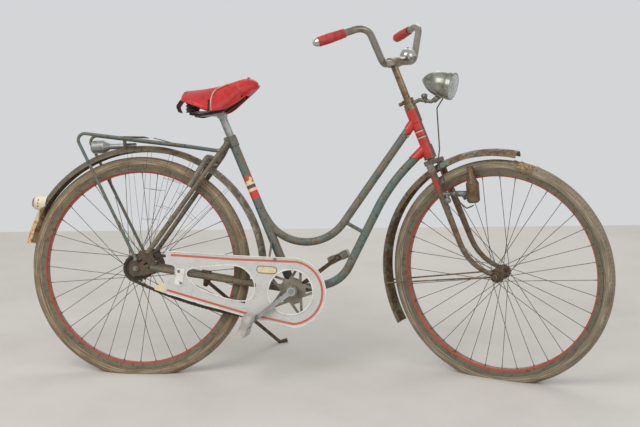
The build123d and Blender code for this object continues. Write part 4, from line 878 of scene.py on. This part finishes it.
# saddle cover, as (x, half width, top, edge), and points on it, as (x, part of the way from ridge to edge)
SADDLE = [(138, 60, 895, 868), (152, 86, 900, 862), (188, 100, 904, 849), (232, 96, 911, 832),
          (274, 70, 922, 836), (308, 45, 934, 858), (340, 30, 942, 884), (362, 22, 939, 902),
          (376, 11, 928, 914)]
SEAM = [(242, 1.0), (239, 0.85), (239, 0.66), (243, 0.50), (252, 0.38), (265, 0.29), (282, 0.22)]
SEAM_OUT = 3.2
RIVETS = [(150, 0.5), (150, -0.5), (146, 0.0), (346, 0.15), (346, -0.15)]
RIVET_OUT = 2.2
NOSE_POINT = (379, 0, 919)
TAIL_POINT = (135, 0, 870)


def on_saddle(x, part, out):
    """Point over the saddle's cover: part 0 is the ridge, 1 the right edge, -1 the left edge."""
    for a, b in zip(SADDLE, SADDLE[1:]):
        if a[0] <= x <= b[0]:
            t = (x - a[0]) / (b[0] - a[0])
            w, top, low = [a[k] + (b[k] - a[k]) * t for k in (1, 2, 3)]
            rise = top - low
            r = (w * w + rise * rise) / (2 * rise)
            half = math.asin(min(1.0, w / r)) if r > rise else math.pi - math.asin(min(1.0, w / r))
            angle = half * part
            return Vector((x, -(r + out) * math.sin(angle), top - r + (r + out) * math.cos(angle)))
    raise ValueError(x)


for name, side in (("saddle_seam_left", -1), ("saddle_seam_right", 1)):
    seam = [row(on_saddle(x, part * side, SEAM_OUT)) for x, part in SEAM]
    line_piece(name, seam, 0.0019, look["cream_piping"], "frame")
right_edge = [(x, -w - 0.5, low + 1.5) for x, w, top, low in SADDLE]
left_edge = [(x, -y, z) for x, y, z in reversed(right_edge)]
rim_line = [row(q) for q in right_edge + [NOSE_POINT] + left_edge + [TAIL_POINT]]
line_piece("saddle_rim", rim_line, 0.0028, look["red_cover"], "frame", True)
rows = []
for x, part in RIVETS:
    outward = row(on_saddle(x, part, 12.0)) - row(on_saddle(x, part, 2.0))
    rows.append((row(on_saddle(x, part, RIVET_OUT)), outward.normalized(), 0.0036))
bolts("saddle_rivets", rows, look["dull_steel"], "frame")

# three holes in each side of the rear lamp, drawn as dark discs: painted shade of the openings
LAMP_TURN = math.radians(148.2)
LAMP_TILT = 0.5
LAMP_HOLES = dict(turns=(-24.0, 0.0, 24.0), along=10.0, shell_r=24.6, deep=1.5, proud=0.2, r=0.0021)


def lamp_holes():
    c, n = math.cos(LAMP_TURN), math.sin(LAMP_TURN)
    axis = Vector((c - LAMP_TILT * n, 0, n + LAMP_TILT * c)).normalized()
    foot = FENDER_AT + Vector((c, 0, n)) * FENDER_R
    across = Vector((-axis.z, 0, axis.x))
    rows = []
    for side in (-1, 1):
        for turn in LAMP_HOLES["turns"]:
            a = math.radians(turn)
            out = Vector((0, side * math.cos(a), 0)) + across * math.sin(a)
            at = foot + axis * LAMP_HOLES["along"] + out * LAMP_HOLES["shell_r"]
            ends = (row(at - out * LAMP_HOLES["deep"]), row(at + out * LAMP_HOLES["proud"]))
            rows.append((*ends, LAMP_HOLES["r"], LAMP_HOLES["r"]))
    # dark discs set in the lamp's shell: painted shade where the holes are
    piece("rear_lamp_hole_shade", rods_mesh("rear_lamp_hole_shade", rows, 10), look["dark_steel"], "frame")


lamp_holes()

# dynamo's clamp and knob and the lamp bracket's knob, as (start, end, radius start, radius end) by the head
DYNAMO_CLAMP = [((96, -46.5, -105.7), (58, -47.8, -107.3), 9.0, 9.0),
                ((58, -47.8, -107.3), (48, -48, -107.7), 9.0, 6.5),
                ((30, -49, -108.5), (26, -52, -128), 6.0, 6.0),
                ((26, -50, -128), (26, -62, -128), 9.5, 9.5),
                ((82, -47, -106), (80, -40, -124), 7.5, 5.0)]
LAMP_KNOB = [((62, 0, 170), (62, 0, 196), 7.0, 6.0),
             ((62, -9, 191), (62, 9, 191), 7.5, 7.5),
             ((88, 0, 176), (112, 0, 190), 9.0, 8.0)]
for name, table in (("dynamo_clamp", DYNAMO_CLAMP), ("lamp_knob", LAMP_KNOB)):
    rows = [(row(by_head(*a), True), row(by_head(*b), True), r0 / 1000, r1 / 1000) for a, b, r0, r1 in table]
    piece(name, rods_mesh(name, rows, 14), look["bracket_grey"], "fork")

# fastenings, as (place, head radius in metres)
RIGHT_BOLTS = [((442, -65.0, 371), 0.0045), ((0, -76.5, HUB_Z + 30), 0.005), ((258, -45, 712), 0.005)]
LEFT_BOLTS = [((0, 76.5, HUB_Z + 30), 0.005), ((258, 45, 712), 0.005), ((128, 71, 328), 0.005)]
rows = [(row(at), RIGHT_OUT, r) for at, r in RIGHT_BOLTS]
bolts("frame_bolts_right", rows, look["dull_steel"], "frame")
rows = [(row(at), -RIGHT_OUT, r) for at, r in LEFT_BOLTS]
bolts("frame_bolts_left", rows, look["rusty_steel"], "frame")
bar_middle = head(HEAD_TOP_Z + 149.0) + Vector((3.4, 0, 0))
bar_bend = head(HEAD_TOP_Z + 148.0) + Vector((21.0, 118.0, 0))
bell_top = bar_middle + (bar_bend - bar_middle) * 0.71 + Vector((0, 0, 42.6))
bolts("bell_nut", [(row(bell_top, True), way((0, 0, 1), True), 0.004)], look["dull_steel"], "fork")
stem_clamp = head(HEAD_TOP_Z + 149.0) + Vector((-14.0, -9.0, 0))
bolts("stem_bolt", [(row(stem_clamp, True), way((0, -1, 0), True), 0.005)], look["dull_steel"], "fork")

# camera at the photograph's angle
camera_data = bpy.data.cameras.new("camera")
camera = bpy.data.objects.new("camera", camera_data)
scene.collection.objects.link(camera)
camera_data.lens = 66.34
camera_data.sensor_width = 36.0
forward = Vector((-0.09764, 0.9757, -0.19616)).normalized()
upward = Vector((-0.00867, 0.19626, 0.98051)).normalized()
right = forward.cross(upward).normalized()
upward = right.cross(forward)
camera_at = (Vector((941.2, -3546.7, 1237.6)) + SHIFT) / 1000
camera_turn = Matrix((right, upward, -forward)).transposed().to_4x4()
camera.matrix_world = Matrix.Translation(camera_at) @ camera_turn
scene.camera = camera


# floor that ends where the wall's foot is seen, in metres
WALL_AHEAD = 5.8
FLOOR_HALF_WIDE = 30
FLOOR_DEEP = 40


def floor_paint():
    p = Paint("floor", rough=0.9)
    return p.layer(srgb(199, 194, 186)).mottle(srgb(192, 187, 178), 2.2, 0.4, 0.7, 6.0)


mesh = bpy.data.meshes.new("floor")
ahead = Vector((forward.x, forward.y, 0)).normalized()
aside = Vector((ahead.y, -ahead.x, 0)) * FLOOR_HALF_WIDE
wall_foot = Vector((camera_at.x, camera_at.y, 0)) + ahead * WALL_AHEAD
near = wall_foot - ahead * FLOOR_DEEP
corners = [wall_foot - aside, wall_foot + aside, near + aside, near - aside]
mesh.from_pydata(corners, [], [(3, 2, 1, 0)])
mesh.materials.append(floor_paint().done())
floor = bpy.data.objects.new("floor", mesh)
scene.collection.objects.link(floor)

# soft light from all round, with a plain wall colour seen by the eye, in mirrors and through glass
world = bpy.data.worlds.new("studio")
scene.world = world
world.use_nodes = True
nodes, links = world.node_tree.nodes, world.node_tree.links
back = nodes["Background"]
back.inputs["Color"].default_value = (0.93, 0.96, 1.0, 1.0)
back.inputs["Strength"].default_value = 0.72
seen = nodes.new("ShaderNodeBackground")
seen.inputs["Color"].default_value = srgb(211, 213, 215)
seen.inputs["Strength"].default_value = 1.0
ray = nodes.new("ShaderNodeLightPath")
blend = nodes.new("ShaderNodeMixShader")
shown = ray.outputs["Is Camera Ray"]
for kind in ("Is Glossy Ray", "Is Transmission Ray"):
    both = nodes.new("ShaderNodeMath")
    both.operation = "ADD"
    both.use_clamp = True
    links.new(shown, both.inputs[0])
    links.new(ray.outputs[kind], both.inputs[1])
    shown = both.outputs[0]
links.new(shown, blend.inputs["Fac"])
links.new(back.outputs["Background"], blend.inputs[1])
links.new(seen.outputs["Background"], blend.inputs[2])
links.new(blend.outputs["Shader"], nodes["World Output"].inputs["Surface"])

# area lights, as (name, place, aim, size, power, colour)
LIGHTS = [("key", (-1.8, -2.6, 3.4), (0, 0, 0.5), 2.6, 85.0, (1.0, 0.97, 0.93)),
          ("fill", (2.8, -2.4, 2.2), (0, 0, 0.5), 2.4, 32.0, (0.95, 0.97, 1.0)),
          ("back", (0.5, 3.0, 3.0), (0, 0, 0.6), 2.4, 30.0, (1.0, 1.0, 1.0))]
for name, place, aim, size, power, colour in LIGHTS:
    lamp = bpy.data.lights.new(name, "AREA")
    lamp.energy = power
    lamp.size = size
    lamp.color = colour
    holder = bpy.data.objects.new(name, lamp)
    holder.location = place
    holder.rotation_euler = (Vector(aim) - Vector(place)).to_track_quat("-Z", "Y").to_euler()
    scene.collection.objects.link(holder)
scene.view_settings.view_transform = "Standard"
